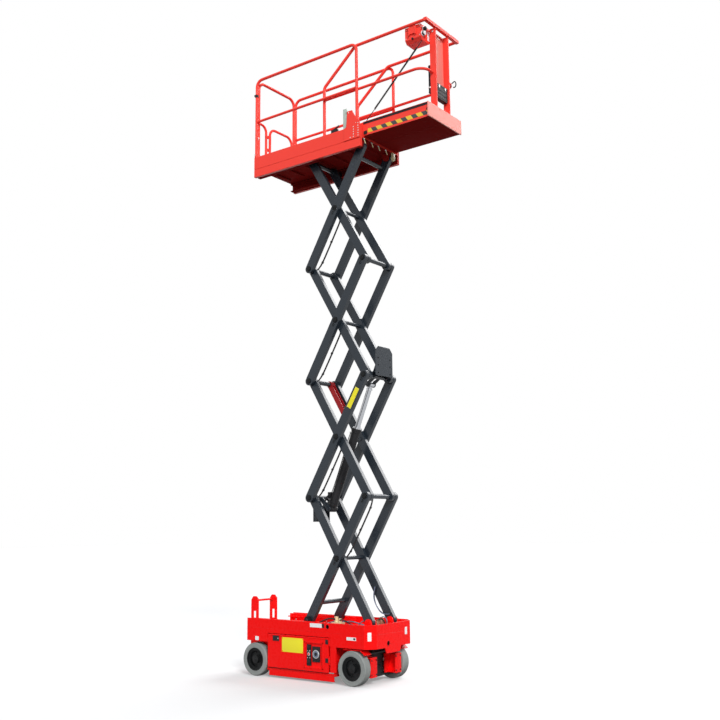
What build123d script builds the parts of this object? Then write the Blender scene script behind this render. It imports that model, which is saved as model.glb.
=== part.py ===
from build123d import *
from math import atan2, cos, degrees, hypot, radians, sin
import os

# Slab scissor lift, raised, with the roll-out deck out. Millimetres.
# X runs forward, Y to the machine's left, Z up from a datum a little above the ground.

# Chassis
GROUND_Z = -14.0
HALF_WIDTH = 380.0
CHASSIS_REAR = -875.0
CHASSIS_FRONT = 770.0
NOSE_CHAMFER_X = 85.0
NOSE_CHAMFER_Y = 90.0
CHASSIS_TOP = 575.0
SKIRT_Z = 345.0
WELL_FLOOR = 480.0
FLOOR_PLATE = 20.0
WALL = 12.0
SPINE_HALF = 120.0
BEAM_HALF = 85.0
UNDERSIDE = 130.0
TIE_X = 226.0
TIE_Z = 538.0
TIE_R = 20.0

# Trays and guards
DOOR_REAR = -578.0
DOOR_FRONT = 235.0
DOOR_BOTTOM = 94.0
DOOR_TOP = 428.0
DOOR_T = 18.0
HINGE_X = DOOR_FRONT + 11.0
HINGE_Y = HALF_WIDTH - 9.0
HINGE_ZS = (188.0, 368.0)
ARCH_WALL_X = 286.0
PILLAR_FRONT = 328.0
GUARD_Y = HALF_WIDTH - 24.0
GUARD_Z = 78.0
GUARD_LOW = 8.0

# Wheels and steering
WHEEL_R = 168.5
WHEEL_W = 100.0
HUB_R = 118.0
AXLE_Z = GROUND_Z + WHEEL_R
REAR_AXLE_X = -762.0
FRONT_AXLE_X = 524.0
KINGPIN_Y = HALF_WIDTH - 130.0
CARRIER_Z = 40.0
STEER_ARM = 95.0
TIE_ROD_Z = 289.0
SPINDLE_R = 20.0
RUN = 0.08

# Scissor
PIVOT_FRONT_X = 620.0
PIVOT_SPAN = 734.0
STAGE_H = 1247.0
STAGES = 4
PIVOT_Z = CHASSIS_TOP + 7.0
ARM_DEPTH = 96.0
OUTER_Y = HALF_WIDTH - 141.0
OUTER_T = 46.0
INNER_Y = OUTER_Y - 53.0
INNER_T = 44.0
SHAFT_R = 25.0
PIN_R = 20.0
ROLLER_R = 35.0
ROLLER_IN = OUTER_Y + 29.0
ROLLER_W = 30.0
TRACK_Y = ROLLER_IN + ROLLER_W + 6.0
OPEN_GAP = 1.0
EYE_ALONG = 150.0
EYE_OUT = 30.0
TOP_EYE_BACK = 111.0
TOP_EYE_UP = 50.0

ANGLE = atan2(STAGE_H, PIVOT_SPAN)
ARM_L = hypot(STAGE_H, PIVOT_SPAN)
PIVOT_REAR_X = PIVOT_FRONT_X - PIVOT_SPAN
CENTRE_X = (PIVOT_FRONT_X + PIVOT_REAR_X) / 2
TOP_PIVOT_Z = PIVOT_Z + STAGES * STAGE_H

# Platform, its levels carried up from the top pivots
DECK_REAR = PIVOT_REAR_X - 739.0
DECK_FRONT = PIVOT_FRONT_X + 66.0
DECK_HALF = HALF_WIDTH - 16.0
SIDE_T = 34.0
DECK_BOTTOM = TOP_PIVOT_Z - 50.0
TIER_Z = TOP_PIVOT_Z + 44.0
FLOOR_Z = TOP_PIVOT_Z + 68.0
FLOOR_T = 13.0
TOE_H = 123.0
RAIL_H = 1092.0
MID_RAIL_H = 0.515 * RAIL_H
RAIL_R = 17.0
TOE_TOP = FLOOR_Z + TOE_H
RAIL_TOP = FLOOR_Z + RAIL_H
MID_RAIL = FLOOR_Z + MID_RAIL_H
POST_REAR_X = DECK_REAR + RAIL_R
POST_FRONT_X = DECK_FRONT - 52.0
QUARTER_Y = -DECK_HALF + 179.0
GATE_HINGE_Y = -DECK_HALF + 216.0
GATE_RIGHT = -DECK_HALF + 246.0
GATE_LEFT = DECK_HALF - 92.0

# Roll-out deck
EXT_FRONT = DECK_FRONT + 841.0
EXT_REAR_POST = DECK_REAR + 1005.0
EXT_HALF = DECK_HALF - 57.0
EXT_BOTTOM = FLOOR_Z + 7.0
EXT_T = 12.0
EXT_SIDE_TOP = FLOOR_Z + 82.0
EXT_TOE_TOP = FLOOR_Z + 162.0
EXT_TALL_X = DECK_FRONT - 46.0
FRAME_HALF = EXT_HALF - 182.0
FRAME_X = EXT_FRONT - 87.0
BOX_REAR = FRAME_X - 205.0
BOX_H = 172.0

# Ladder
LADDER_REAR = CHASSIS_REAR - 157.0
LADDER_TOP = CHASSIS_TOP + 206.0
LADDER_HALF = 150.0

# The part's origin is the middle of its box, on the ground.
SHIFT_X = -(EXT_FRONT + LADDER_REAR) / 2

NODES = {}


def block(x0, x1, y0, y1, z0, z1):
    return Pos((x0 + x1) / 2, (y0 + y1) / 2, (z0 + z1) / 2) * Box(x1 - x0, y1 - y0, z1 - z0)


def both(shape):
    return shape + mirror(shape, Plane.XZ)


def rod(a, b, r):
    a = Vector(*a)
    b = Vector(*b)
    axis = b - a
    return Plane(origin=a, z_dir=axis) * Cylinder(
        r, axis.length, align=(Align.CENTER, Align.CENTER, Align.MIN))


def across(x, z, y0, y1, r):
    return rod((x, min(y0, y1), z), (x, max(y0, y1), z), r)


def pipe(points, r, bend):
    wire = FilletPolyline(*points, radius=bend)
    start = Vector(*points[0])
    way = Vector(*points[1]) - start
    return sweep(Plane(origin=start, z_dir=way) * Circle(r), path=wire)


def plate(points, y0, y1):
    # A flat plate from (x, z) corners, between two Y planes.
    face = make_face(Polyline(*[(x, y0, z) for x, z in points], close=True))
    return extrude(face, y1 - y0, dir=(0, 1, 0))


def keep(name, shape):
    NODES[name] = shape


def chassis():
    x0 = CHASSIS_REAR
    x1 = CHASSIS_FRONT
    h = HALF_WIDTH
    under = WELL_FLOOR - FLOOR_PLATE
    outline = Polyline(
        (x0, -h), (x1 - NOSE_CHAMFER_X, -h), (x1, -h + NOSE_CHAMFER_Y),
        (x1, h - NOSE_CHAMFER_Y), (x1 - NOSE_CHAMFER_X, h), (x0, h), close=True)
    inner = offset(make_face(outline), -WALL)
    tub = extrude(Pos(0, 0, SKIRT_Z) * make_face(outline), WELL_FLOOR - SKIRT_Z)
    tub -= extrude(Pos(0, 0, SKIRT_Z - 1) * inner, under - SKIRT_Z + 1)
    # Walls round the open well, low at the ladder's end
    ring = extrude(Pos(0, 0, WELL_FLOOR) * make_face(outline), CHASSIS_TOP - WELL_FLOOR)
    ring -= extrude(Pos(0, 0, WELL_FLOOR - 1) * inner, 2 * CHASSIS_TOP)
    middle = block(x0 - 1, x1 - NOSE_CHAMFER_X, -h - 1, h + 1, WELL_FLOOR - 1, CHASSIS_TOP + 1)
    walls = ring & middle
    walls -= block(x0 - 1, x0 + WALL + 1, -h + WALL, h - WALL, WELL_FLOOR - 1, CHASSIS_TOP + 1)
    walls -= both(across(TIE_X, TIE_Z, h - 30, h + 10, TIE_R))
    keep("well_side_walls", walls)
    keep("well_nose_wall", ring - middle)
    low = block(-545, 420, -SPINE_HALF, SPINE_HALF, UNDERSIDE, under)
    low += block(x0 + WALL, DOOR_REAR - 4, -h + 125, h - 125, UNDERSIDE, under)
    low += block(DOOR_REAR - 5, -544, -SPINE_HALF, SPINE_HALF, UNDERSIDE, under)
    tub += low
    # Tongue under the nose, and the round hole
    nose = make_face(Polyline(
        (x1, -145, SKIRT_Z), (x1, -120, SKIRT_Z - 55), (x1, 105, SKIRT_Z - 55), (x1, 130, SKIRT_Z), close=True))
    tub += extrude(nose, WALL, dir=(-1, 0, 0))
    tub -= rod((x1 - 40, -95, SKIRT_Z + 40), (x1 + 10, -95, SKIRT_Z + 40), 24)
    # Side walls open over the tray doors, with a pillar ahead of each door
    tub -= both(block(DOOR_REAR - 6, HINGE_X + 12, h - 25, h + 10, SKIRT_Z - 5, DOOR_TOP + 6))
    tub += both(block(HINGE_X + 16, PILLAR_FRONT, h - 23, h, DOOR_BOTTOM + 6, DOOR_TOP + 12))
    w = ARCH_WALL_X
    tub += both(block(w, w + 8, SPINE_HALF - 1, h - 22, DOOR_BOTTOM + 2, under + 1))
    # Lugs that carry the guard rods
    z0 = GUARD_Z - 18
    z1 = GUARD_Z + 12
    r = DOOR_REAR - 14
    tub += both(block(r, r + 12, h - 130, h - 14, z0, z1))
    tub += both(block(r, r + 12, h - 130, h - 105, z0, UNDERSIDE + 10))
    tub += both(block(w + 7, w + 26, h - 80, h - 40, DOOR_BOTTOM + 2, UNDERSIDE))
    tub += both(block(w + 12, w + 26, h - 80, h - 14, z0, UNDERSIDE))
    tub -= both(rod((r - 10, GUARD_Y, GUARD_Z), (w + 40, GUARD_Y, GUARD_Z), 8 + RUN))
    # Posts and ears that carry the tray hinges
    hx = HINGE_X
    hinge = block(hx - 8, hx + 8, h - 42, h - 23, DOOR_BOTTOM + 6, under + 1)
    for z in HINGE_ZS:
        for low in (z - 17, z + 48):
            hinge += block(hx - 8, hx + 8, h - 40, HINGE_Y, low, low + 15)
            hinge += rod((hx, HINGE_Y, low), (hx, HINGE_Y, low + 15), 8)
        hinge += rod((hx, HINGE_Y, z - 17), (hx, HINGE_Y, z + 60), 5)
    tub += both(hinge)
    keep("chassis_frame", tub)


def front_beam():
    # Dark beam between the front wheels, with the kingpins in their carriers.
    a = FRONT_AXLE_X
    k = KINGPIN_Y
    top = WELL_FLOOR - FLOOR_PLATE
    part = block(420, a + 41, -BEAM_HALF, BEAM_HALF, CARRIER_Z, top)
    arm = block(a - 28, a + 28, BEAM_HALF - 1, k, CARRIER_Z, CARRIER_Z + 20)
    arm += rod((a, k, CARRIER_Z), (a, k, CARRIER_Z + 20), 28)
    arm += rod((a, k, CARRIER_Z + 5), (a, k, top - 40), 14)
    arm += rod((a, k, SKIRT_Z - 5), (a, k, top), 38)
    arm += block(a - 20, a + 20, BEAM_HALF - 1, k, top - 60, top)
    keep("front_beam", part + both(arm))


def scissor_base():
    # Roller tracks and the fixed front lugs in the well.
    web = TRACK_Y
    floor = WELL_FLOOR
    low = PIVOT_Z - ROLLER_R - 1
    part = block(CHASSIS_REAR + 7, 60, web, web + 8, floor, CHASSIS_TOP - 3)
    part += block(CHASSIS_REAR + 7, 60, ROLLER_IN, web + 1, low - 10, low)
    x = PIVOT_FRONT_X
    ins = INNER_Y - INNER_T / 2 - 6
    out = INNER_Y + INNER_T / 2 + 6
    for y0, y1 in ((ins - 18, ins), (out, out + 18)):
        lug = plate([(x - 60, floor), (x + 60, floor), (x + 38, PIVOT_Z), (x - 38, PIVOT_Z)], y0, y1)
        lug += across(x, PIVOT_Z, y0, y1, 38)
        part += lug
    part += block(x - 60, x + 60, ins - 18, out + 18, floor, floor + 10)
    part += across(x, PIVOT_Z, ins - 20, out + 20, PIN_R)
    keep("scissor_base", both(part))


def ladder():
    x0 = LADDER_REAR
    x1 = CHASSIS_REAR
    w = 104
    y = LADDER_HALF
    t = LADDER_TOP
    up = plate([(x1, 180), (x0 + 25, 180), (x0, 220), (x0, t - 36), (x0 + 30, t), (x0 + w - 30, t),
                (x0 + w, t - 32), (x0 + w, t - 260), (x1, t - 330)], y - 6, y + 6)
    for z in (t - 450, t - 251):
        up -= block(x0 + 32, x0 + 72, y - 10, y + 10, z, z + 94)
    part = both(up)
    for z in (270, t - 281, t - 46):
        part += across(x0 + 52, z, -y, y, 11)
    keep("entry_ladder", part)


def rear_stubs():
    h = HALF_WIDTH
    stub = across(REAR_AXLE_X, AXLE_Z, h - 125, h - 10, SPINDLE_R)
    stub += across(REAR_AXLE_X, AXLE_Z, h - 125, h - 105, 70)
    keep("rear_axle_stubs", both(stub))


def valve_block():
    f = WELL_FLOOR
    part = block(20, 130, -60, 30, f, f + 65)
    part += rod((52, -15, f + 65), (52, -15, f + 122), 20)
    part += rod((100, -15, f + 65), (100, -15, f + 104), 15)
    keep("valve_block", part)


def tray(side, name):
    # Swing-out tray with its door, in the left-hand place, then mirrored.
    h = HALF_WIDTH
    part = block(DOOR_REAR, DOOR_FRONT, h - DOOR_T, h, DOOR_BOTTOM, DOOR_TOP)
    part += block(-500, DOOR_FRONT - 18, 150, h - DOOR_T + 1, 122, 400)
    part -= block(-492, DOOR_FRONT - 26, 158, h - DOOR_T, 130, 410)
    for z in HINGE_ZS:
        part += block(DOOR_FRONT - 10, HINGE_X, HINGE_Y - 5, HINGE_Y + 5, z, z + 46)
        part += rod((HINGE_X, HINGE_Y, z), (HINGE_X, HINGE_Y, z + 46), 9)
        part -= rod((HINGE_X, HINGE_Y, z - 5), (HINGE_X, HINGE_Y, z + 50), 5 + RUN)
    if side < 0:
        part -= block(-66, 156, h - 14, h + 1, 130, 368)
    part = part if side > 0 else mirror(part, Plane.XZ)
    keep(name, part)


def tray_fittings():
    h = HALF_WIDTH
    keep("battery_pack", block(-480, DOOR_FRONT - 40, 165, h - 30, 130, 370))
    panel = block(-46, 6, -h + 2, -h + 14, 146, 352)
    panel += block(24, 122, -h + 4, -h + 14, 186, 336)
    keep("ground_controls", panel)


def guard(side, name):
    y = GUARD_Y
    r = DOOR_REAR - 13
    f = ARCH_WALL_X
    bar = rod((r, y, GUARD_Z), (f + 25, y, GUARD_Z), 8)
    part = bar + block(r + 17, f + 6, y - 4, y + 4, GUARD_LOW, GUARD_Z)
    part += block(r + 17, f + 6, y - 10, y + 4, GUARD_LOW, GUARD_LOW + 10)
    keep(name, part if side > 0 else mirror(part, Plane.XZ))


def knuckle(side, name):
    a = FRONT_AXLE_X
    k = KINGPIN_Y
    low = CARRIER_Z + 26
    arm_z = TIE_ROD_Z - 27
    lid = GROUND_Z + 2 * WHEEL_R + 5
    part = rod((a, k, low), (a, k, SKIRT_Z - 14), 24)
    part += across(a, AXLE_Z, k, HALF_WIDTH - 10, SPINDLE_R)
    part += across(a, AXLE_Z, k, HALF_WIDTH - WHEEL_W - 4, 48)
    # Yoke plate, drive motor and steering arm
    part += block(a + 40, a + 55, k - 138, k + 12, low, arm_z - 7)
    part += block(a, a + 41, k - 10, k + 10, low + 24, arm_z - 12)
    part += across(a, AXLE_Z, k - 62, k, 45)
    part += block(a, a + STEER_ARM, k - 14, k + 14, arm_z, arm_z + 14)
    part += rod((a + STEER_ARM, k, arm_z), (a + STEER_ARM, k, arm_z + 14), 18)
    # Fender over the tyre, bent down at the front, on its bracket
    part += block(a - 22, a + 22, k - 4, k + 16, lid - 8, lid + 6)
    part += plate([(a - 110, lid), (a + 105, lid), (a + 158, lid - 42), (a + 162, lid - 37), (a + 107, lid + 6),
                   (a - 110, lid + 6)], k + 12, HALF_WIDTH - 8)
    part -= rod((a, k, low - 10), (a, k, SKIRT_Z), 14 + RUN)
    part += rod((a + STEER_ARM, k, arm_z), (a + STEER_ARM, k, arm_z + 40), 9)
    keep(name, part if side > 0 else mirror(part, Plane.XZ))


def tie_rod():
    x = FRONT_AXLE_X + STEER_ARM
    k = KINGPIN_Y
    z = TIE_ROD_Z
    part = across(x, z, -k + 10, k - 10, 12)
    for s in (-1, 1):
        part += rod((x, s * k, z - 11), (x, s * k, z + 11), 20)
    part -= rod((x, -k, z - 20), (x, -k, z + 20), 9 + RUN)
    part -= rod((x, k, z - 20), (x, k, z + 20), 9 + OPEN_GAP)
    keep("tie_rod", part)


def wheel(x, side, tail):
    y1 = HALF_WIDTH
    y0 = HALF_WIDTH - WHEEL_W
    z = AXLE_Z
    ring = across(x, z, y0, y1, WHEEL_R)
    rims = ring.edges().filter_by(GeomType.CIRCLE)
    ring = fillet(rims, 14)
    ring -= across(x, z, y0 - 1, y1 + 1, HUB_R)
    hub = across(x, z, y0 + 4, y1 - 14, HUB_R)
    hub -= across(x, z, y1 - 44, y1, HUB_R - 22)
    hub += across(x, z, y1 - 45, y1 - 6, 42)
    hub -= across(x, z, y0, y1 - 9.5, SPINDLE_R + RUN)
    if side < 0:
        ring = mirror(ring, Plane.XZ)
        hub = mirror(hub, Plane.XZ)
    keep("tyre_" + tail, ring)
    keep("hub_" + tail, hub)


def arm(xa, za, xb, zb, y0, y1):
    # One rectangular arm with round ends between two pivots.
    length = hypot(xb - xa, zb - za)
    tilt = degrees(atan2(zb - za, xb - xa))
    beam = Box(length, y1 - y0, ARM_DEPTH)
    beam += Pos(-length / 2, 0, 0) * Rot(90, 0, 0) * Cylinder(ARM_DEPTH / 2, y1 - y0)
    beam += Pos(length / 2, 0, 0) * Rot(90, 0, 0) * Cylinder(ARM_DEPTH / 2, y1 - y0)
    return Pos((xa + xb) / 2, (y0 + y1) / 2, (za + zb) / 2) * Rot(0, -tilt, 0) * beam


def outer_arms(k):
    # From the rear low pivot to the front high pivot. Carries the centre pins and front shaft.
    z0 = PIVOT_Z + (k - 1) * STAGE_H
    z1 = z0 + STAGE_H
    zc = (z0 + z1) / 2
    y0 = OUTER_Y - OUTER_T / 2
    y1 = OUTER_Y + OUTER_T / 2
    c = cos(ANGLE)
    s = sin(ANGLE)
    one = arm(PIVOT_REAR_X, z0, PIVOT_FRONT_X, z1, y0, y1)
    if k > 1:
        one -= across(PIVOT_REAR_X, z0, y0 - 5, y1 + 5, PIN_R + OPEN_GAP)
    if k == STAGES:
        one -= across(PIVOT_FRONT_X, z1, y0 - 5, y1 + 5, PIN_R + RUN)
    one += across(CENTRE_X, zc, INNER_Y - INNER_T / 2 - 8, y1 + 4, PIN_R)
    part = both(one)
    if k != 2:
        part += across(CENTRE_X, zc, -INNER_Y, INNER_Y, PIN_R)
    if k < STAGES:
        part += across(PIVOT_FRONT_X, z1, -y1 - 4, y1 + 4, SHAFT_R)
    if k == 1:
        part += both(across(PIVOT_REAR_X, z0, y1 - 1, ROLLER_IN + ROLLER_W + 2, 15))
        part += across(PIVOT_REAR_X + 200 * c, z0 + 200 * s, -y0 - 1, y0 + 1, 22)
    if k == STAGES:
        part += across(PIVOT_FRONT_X - 120 * c, z1 - 120 * s, -y0 - 1, y0 + 1, 22)
    if k == 2:
        # Plates for the cylinder's upper eye, with a stub of its pin outside each
        tx, tz = top_eye()
        for side in (-1, 1):
            part += plate([(PIVOT_FRONT_X - 16, z1 - 22), (PIVOT_FRONT_X + 16, z1 + 22),
                           (tx - 8, tz + 30), (tx - 20, tz - 26)], side * 46 - 7, side * 46 + 7)
            part += across(tx, tz, side * 46 - 7, side * 46 + 7, 30)
            part += across(tx, tz, side * 52, side * 60, 16)
    keep("outer_arms_%d" % k, part)


def inner_arms(k):
    # From the front low pivot to the rear high pivot. Carries the rear shaft.
    z0 = PIVOT_Z + (k - 1) * STAGE_H
    z1 = z0 + STAGE_H
    zc = (z0 + z1) / 2
    y0 = INNER_Y - INNER_T / 2
    y1 = INNER_Y + INNER_T / 2
    out = OUTER_Y + OUTER_T / 2
    one = arm(PIVOT_REAR_X, z1, PIVOT_FRONT_X, z0, y0, y1)
    one -= across(CENTRE_X, zc, y0 - 5, y1 + 5, PIN_R + RUN)
    low_r = PIN_R if k == 1 else SHAFT_R
    one -= across(PIVOT_FRONT_X, z0, y0 - 5, y1 + 5, low_r + RUN)
    if k < STAGES:
        one += across(PIVOT_REAR_X, z1, y1 - 1, out + 4, PIN_R)
    else:
        one += across(PIVOT_REAR_X, z1, y1 - 1, ROLLER_IN + ROLLER_W + 2, 15)
    part = both(one)
    part += across(PIVOT_REAR_X, z1, -y1, y1, SHAFT_R)
    if k == 1:
        # Plates from the rear shaft to the cylinder's lower eye
        bx, bz = base_eye()
        c = cos(ANGLE)
        s = sin(ANGLE)
        x = PIVOT_REAR_X
        for side in (-1, 1):
            part += plate([(x - 24 * s, z1 - 24 * c), (x + 24 * s, z1 + 24 * c),
                           (bx + 26 * s, bz + 26 * c), (bx - 26 * s, bz - 26 * c)],
                          side * 60 - 7, side * 60 + 7)
            part += across(bx, bz, side * 60 - 7, side * 60 + 7, 28)
        part += across(bx, bz, -68, 68, 16)
    keep("inner_arms_%d" % k, part)


def base_eye():
    # The lift cylinder's lower pin, on the lowest inner arms.
    c = cos(ANGLE)
    s = sin(ANGLE)
    x = PIVOT_REAR_X + EYE_ALONG * c + EYE_OUT * s
    z = PIVOT_Z + STAGE_H - EYE_ALONG * s + EYE_OUT * c
    return x, z


def top_eye():
    # The lift cylinder's upper pin, on the second outer arms.
    c = cos(ANGLE)
    s = sin(ANGLE)
    x = PIVOT_FRONT_X - TOP_EYE_BACK * c - TOP_EYE_UP * s
    z = PIVOT_Z + 2 * STAGE_H - TOP_EYE_BACK * s + TOP_EYE_UP * c
    return x, z


def cable_guides():
    # Bent sheets that lead the cables round the shafts.
    x = PIVOT_FRONT_X
    z = PIVOT_Z + 2 * STAGE_H
    half = INNER_Y - INNER_T / 2 - 14
    face = make_face(Polyline(
        (x + 72, -half, z), (x + 72, half, z), (x + 72, half, z + 260), (x + 72, half - 50, z + 310),
        (x + 72, 50 - half, z + 310), (x + 72, -half, z + 260), close=True))
    part = extrude(face, 8, dir=(1, 0, 0))
    part += block(x + 20, x + 73, -half, half, z + 30, z + 38)
    for side in (-1, 1):
        part += plate([(x - 4, z - 24), (x + 79, z - 6), (x + 79, z + 200), (x + 20, z + 60), (x - 4, z + 24)],
                      side * 106 - 6, side * 106 + 6)
    part -= across(x, z, -half, half, SHAFT_R)
    keep("upper_cable_guide", part)
    x = PIVOT_REAR_X
    z = PIVOT_Z + STAGE_H
    part = block(x - 60, x - 52, -120, 120, z - 250, z - 80)
    part += block(x - 60, x - 20, -120, 120, z - 250, z - 242)
    for side in (-1, 1):
        part += plate([(x - 60, z - 250), (x - 20, z - 250), (x - 20, z - 80), (x + 16, z), (x - 20, z + 12),
                       (x - 60, z - 70)], side * 108 - 6, side * 108 + 6)
    part -= across(x, z, -130, 130, SHAFT_R)
    keep("lower_cable_guide", part)


def lift_cylinder():
    bx, bz = base_eye()
    tx, tz = top_eye()
    length = hypot(tx - bx, tz - bz)
    ux = (tx - bx) / length
    uz = (tz - bz) / length

    def at(d):
        return (bx + ux * d, 0, bz + uz * d)

    barrel = rod(at(36), at(0.63 * length), 46)
    barrel += rod(at(0.616 * length), at(0.648 * length), 52)
    barrel += across(bx, bz, -50, 50, 34)
    barrel += rod(at(0), at(60), 34)
    barrel -= across(bx, bz, -60, 60, 16 + RUN)
    barrel -= rod(at(0.286 * length), at(0.66 * length), 27.1)
    keep("lift_barrel", barrel)
    piston = rod(at(0.6016 * length), at(length - 20), 27)
    piston += across(tx, tz, -36, 36, 28)
    piston -= across(tx, tz, -45, 45, 16 + OPEN_GAP)
    keep("lift_rod", piston)


def safety_prop():
    # Hangs on the second stage's rear shaft, along the inner arm.
    x = PIVOT_REAR_X
    y = INNER_Y - 68
    z = PIVOT_Z + 2 * STAGE_H
    bar = Box(380, 60, 60) - Pos(0, 0, 12) * Box(400, 44, 50)
    bar = Pos(190 + 20, 0, 0) * bar
    bar += Rot(90, 0, 0) * Cylinder(36, 60)
    bar = Pos(x, y, z) * Rot(0, degrees(ANGLE), 0) * bar
    bar -= across(x, z, y - 38, y + 42, SHAFT_R + RUN)
    keep("safety_prop", bar)


def rollers():
    y = ROLLER_IN
    r = across(PIVOT_REAR_X, PIVOT_Z, y, y + ROLLER_W, ROLLER_R)
    r -= across(PIVOT_REAR_X, PIVOT_Z, y - 8, y + ROLLER_W + 7, 15)
    keep("base_rollers", both(r))
    keep("platform_rollers", Pos(0, 0, STAGES * STAGE_H) * both(r))


def main_deck():
    h = DECK_HALF
    part = block(DECK_REAR, DECK_FRONT, -h + SIDE_T - 1, h - SIDE_T + 1, FLOOR_Z - FLOOR_T, FLOOR_Z)
    side = block(DECK_REAR, DECK_FRONT, h - SIDE_T, h, DECK_BOTTOM, TOE_TOP)
    side -= block(DECK_REAR - 1, DECK_FRONT + 1, h - 5, h + 1, TIER_Z - 2, TIER_Z + 2)
    part += both(side)
    # Rear kick boards each side of the gate
    r = DECK_REAR
    part += block(r, r + SIDE_T, -h + SIDE_T - 1, GATE_HINGE_Y - 12, FLOOR_Z - 1, TOE_TOP)
    part += block(r, r + SIDE_T, GATE_LEFT + 24, h - SIDE_T + 1, FLOOR_Z - 1, TOE_TOP)
    keep("main_deck", part)


def platform_lugs():
    z = TOP_PIVOT_Z
    top = FLOOR_Z - FLOOR_T
    web = TRACK_Y
    r = DECK_REAR + 7
    part = block(r, 60, web, web + 8, z - ROLLER_R - 11, top)
    part += block(r, 60, ROLLER_IN, web + 1, z - ROLLER_R - 11, z - ROLLER_R - 1)
    part += block(r, 60, ROLLER_IN, web + 1, z + ROLLER_R + 1, z + ROLLER_R + 11)
    x = PIVOT_FRONT_X
    ins = OUTER_Y - OUTER_T / 2 - 6
    out = OUTER_Y + OUTER_T / 2 + 6
    for y0, y1 in ((ins - 16, ins), (out, out + 16)):
        lug = plate([(x - 60, top), (x + 60, top), (x + 38, z), (x - 38, z)], y0, y1)
        lug += across(x, z, y0, y1, 38)
        part += lug
    part += across(x, z, ins - 18, out + 18, PIN_R)
    keep("platform_lugs", both(part))


def main_rails():
    y = DECK_HALF - RAIL_R
    top = RAIL_TOP - RAIL_R
    side = pipe([(POST_REAR_X, y, TOE_TOP), (POST_REAR_X, y, top),
                 (POST_FRONT_X, y, top), (POST_FRONT_X, y, TOE_TOP)], RAIL_R, 80)
    side += rod((POST_REAR_X, y, MID_RAIL), (POST_FRONT_X, y, MID_RAIL), RAIL_R - 2)
    keep("side_rails", both(side))
    leg = y - 2 * RAIL_R - 0.5
    rear = pipe([(POST_REAR_X, -leg, TOE_TOP), (POST_REAR_X, -leg, top),
                 (POST_REAR_X, leg, top), (POST_REAR_X, leg, TOE_TOP)], RAIL_R, 90)
    rear += pipe([(POST_REAR_X, -leg, MID_RAIL), (POST_REAR_X, QUARTER_Y, MID_RAIL),
                  (POST_REAR_X, QUARTER_Y, TOE_TOP)], RAIL_R - 2, 80)
    g = GATE_HINGE_Y
    for z in (FLOOR_Z + 262, FLOOR_Z + 422):
        rear += block(POST_REAR_X - 6, POST_REAR_X + 6, g - 24, g, z, z + 12)
        rear += rod((POST_REAR_X, g, z), (POST_REAR_X, g, z + 40), 6)
    keep("rear_rails", rear)
    # Gusset plate over the lock on the deck's front corner
    f = DECK_FRONT
    z = FLOOR_Z
    keep("lock_plate", plate([(f - 216, TIER_Z + 4), (f, TIER_Z + 4), (f, z + 162), (f - 46, z + 202),
                              (f - 101, z + 307), (f - 166, z + 307), (f - 181, z + 132), (f - 216, z + 117)],
                             -DECK_HALF - 8, -DECK_HALF - 0.3))


def gate():
    x = POST_REAR_X
    z = FLOOR_Z
    top = MID_RAIL - 2
    left = GATE_LEFT
    right = GATE_RIGHT
    hinge = GATE_HINGE_Y
    part = pipe([(x, right, z + 152), (x, right, top), (x, left, top), (x, left, z + 152)], RAIL_R - 2, 90)
    part += rod((x, right, z + 222), (x, left, z + 222), RAIL_R - 4)
    part += block(x - 5, x + 5, right, left, z + 62, z + 154)
    for low in (z + 276, z + 436):
        eye = rod((x, hinge, low), (x, hinge, low + 22), 14)
        eye += block(x - 6, x + 6, hinge + 8, right, low, low + 22)
        part += eye - rod((x, hinge, low - 5), (x, hinge, low + 30), 6 + RUN)
    keep("entry_gate", part)


def extension():
    y = EXT_HALF
    r = EXT_REAR_POST - 22
    f = FRAME_X
    part = block(r, EXT_FRONT - 12, -y, y, EXT_BOTTOM, EXT_BOTTOM + EXT_T)
    part += both(block(r, EXT_FRONT - 12, y - 12, y, EXT_BOTTOM, EXT_SIDE_TOP))
    part += both(block(EXT_TALL_X, EXT_FRONT - 12, y - 12, y, EXT_BOTTOM, EXT_TOE_TOP))
    for x in (r + 20, r + 430):
        part += both(block(x, x + 90, y - 77, y - 17, FLOOR_Z + 0.5, EXT_BOTTOM + 1))
    keep("extension_deck", part)
    keep("extension_toe_board", block(EXT_FRONT - 12, EXT_FRONT, -y - 17, y + 17, EXT_BOTTOM, EXT_TOE_TOP))
    top = RAIL_TOP - RAIL_R
    side = pipe([(EXT_REAR_POST, y, EXT_SIDE_TOP), (EXT_REAR_POST, y, RAIL_TOP - 380),
                 (EXT_REAR_POST + 438, y, top), (f + 50, y, top)], RAIL_R, 60)
    side += pipe([(EXT_REAR_POST, y, MID_RAIL), (f + 30, y, MID_RAIL), (f + 30, FRAME_HALF + 7, MID_RAIL)],
                 RAIL_R - 2, 120)
    keep("extension_rails", both(side))
    # Channel frame at the front with its back panel and cap
    cap = RAIL_TOP - 2 * RAIL_R
    w = FRAME_HALF
    front = block(f, f + 6, -w, w, FLOOR_Z + 372, cap)
    front += both(block(f, EXT_FRONT - 13, w - 7, w + 7, EXT_BOTTOM + EXT_T, cap))
    front += block(f + 50, EXT_FRONT, -y - 17, y + 17, cap, RAIL_TOP)
    keep("front_frame", front)


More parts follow.
